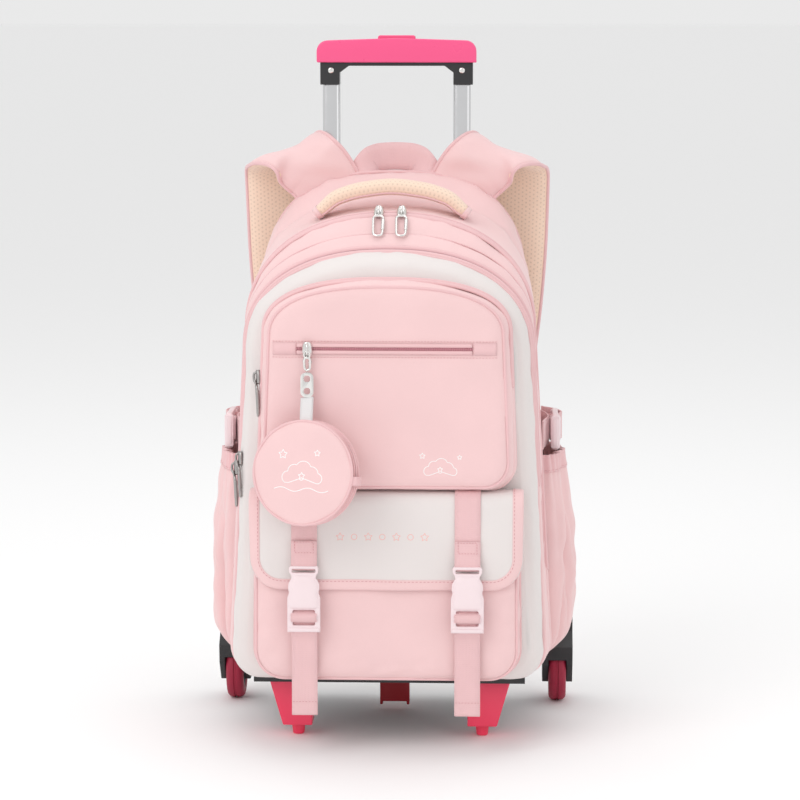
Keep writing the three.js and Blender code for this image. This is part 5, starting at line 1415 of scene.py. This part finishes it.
# Base tray and uprights' bracket
# A black moulded tray under the bag, whose sockets hold the tubes' feet, and a bar that ties the
# tubes together at the bag's top.
dressed("base_tray", black_plastic, bevel=1.6)
dressed("top_bracket", black_plastic, bevel=1.2)
foot_red = plastic("foot_red", (0.95, 0.055, 0.13), 0.34)
# The centre foot's pink-red painted much darker, as the shade under the bag
foot_red_in_shade = plastic("foot_red_in_shade", (0.42, 0.008, 0.018), 0.38)
for side_name in ("left", "right"):
    dressed(f"front_foot_{side_name}", foot_red, bevel=1.4)
    dressed(f"wheel_housing_{side_name}", black_plastic, bevel=1.9, segments=4)
dressed("centre_foot", foot_red_in_shade, bevel=0.8)

# Wheels
# Narrow rubber tyres with a grooved tread on black hubs, running on a pin through the fork. The tyres' hot
# pink is painted a dark crimson, as shade.
wheel_track, wheel_depth, wheel_radius = 149.5, -15.0, 29.0
# Dark crimson for the hot pink tyres: painted shade
tyre_pink_in_shade = plastic("tyre_pink_in_shade_rubber", (0.36, 0.012, 0.045), 0.55)


def lathed(name, profile, side, material, steps=96):
    """A piece turned round the wheel's axle from (radius, along) rows."""
    turn = np.linspace(0, 2 * math.pi, steps, endpoint=False)
    rows = [np.stack([np.full(steps, side * wheel_track + along), wheel_depth + radius * np.cos(turn),
                      wheel_radius + radius * np.sin(turn)], 1) for radius, along in profile]
    made = skinned(name, np.array(rows + rows[:1]), material, ends=False)
    made.data.set_sharp_from_angle(angle=math.radians(40))
    return made


tyre_profile = [(19.0, -7.0), (20.0, -8.0), (24.5, -8.0), (26.6, -7.4), (28.2, -5.8), (29.0, -3.6),
                (29.0, -1.2), (28.1, -0.7), (28.1, 0.7), (29.0, 1.2), (29.0, 3.6), (28.2, 5.8),
                (26.6, 7.4), (24.5, 8.0),
                (20.0, 8.0), (19.0, 7.0)]
hub_profile = [(0.2, -13.8), (3.6, -13.8), (4.0, -13.2), (4.0, -8.0), (7.0, -7.6), (8.0, -6.2), (16.0, -5.0),
               (17.4, -6.8), (18.6, -6.8), (18.8, 0.0), (18.6, 6.8), (17.4, 6.8), (16.0, 5.0), (8.0, 6.2),
               (7.0, 7.6), (4.0, 8.0), (4.0, 13.2), (3.6, 13.8), (0.2, 13.8)]
for side_name, sign in (("left", -1), ("right", 1)):
    fitted(lathed(f"tyre_{side_name}_rubber", tyre_profile, sign, tyre_pink_in_shade),
           f"wheel_{side_name}", [f"tyre_{side_name}"])
    fitted(lathed(f"hub_{side_name}_core", hub_profile, sign, black_plastic),
           f"wheel_{side_name}", [f"hub_{side_name}"])

# Floor, light and camera
# A pale sweep of paper under a wide soft light from the front and above, with a long lens a little
# above the bag's middle.
paper, _, _ = finish("paper", (0.97, 0.97, 0.97), 0.9)
floor = built("floor", [(-200, -200, 0), (200, -200, 0), (200, 200, 0), (-200, 200, 0)],
              [(0, 1, 2, 3)], paper)

world = bpy.data.worlds.new("studio")
bpy.context.scene.world = world
world.use_nodes = True
world.node_tree.nodes["Background"].inputs["Color"].default_value = (1, 1, 1, 1)
world.node_tree.nodes["Background"].inputs["Strength"].default_value = 0.82


def soft_light(name, place, aim, size, power):
    lamp = bpy.data.lights.new(name, "AREA")
    lamp.shape, lamp.size, lamp.size_y, lamp.energy = "RECTANGLE", size, size, power
    obj = bpy.data.objects.new(name, lamp)
    obj.location = place
    obj.rotation_euler = (Vector(aim) - Vector(place)).to_track_quat("-Z", "Y").to_euler()
    bpy.context.collection.objects.link(obj)


soft_light("key", (-1.4, -1.9, 2.0), (0, 0, 0.3), 1.6, 20)
soft_light("fill", (1.8, -1.5, 1.2), (0, 0, 0.3), 1.6, 4)
soft_light("top", (0.0, 0.5, 2.4), (0, 0, 0.3), 1.8, 10)

focal_pixels, image_pixels, sensor = 2921.0, 800.0, 36.0
distance, azimuth, elevation = 2.600, math.radians(2.25), math.radians(7.5)
aim = Vector(placed((6.8, 80.0, 293.0)))
lens = bpy.data.cameras.new("camera")
lens.lens, lens.sensor_width, lens.clip_end = focal_pixels / image_pixels * sensor, sensor, 900
camera = bpy.data.objects.new("camera", lens)
back = Vector((math.sin(azimuth) * math.cos(elevation), -math.cos(azimuth) * math.cos(elevation),
               math.sin(elevation)))
camera.location = aim + back * distance
camera.rotation_euler = (-back).to_track_quat("-Z", "Y").to_euler()
bpy.context.collection.objects.link(camera)
bpy.context.scene.camera = camera
bpy.context.scene.view_settings.view_transform = "Standard"
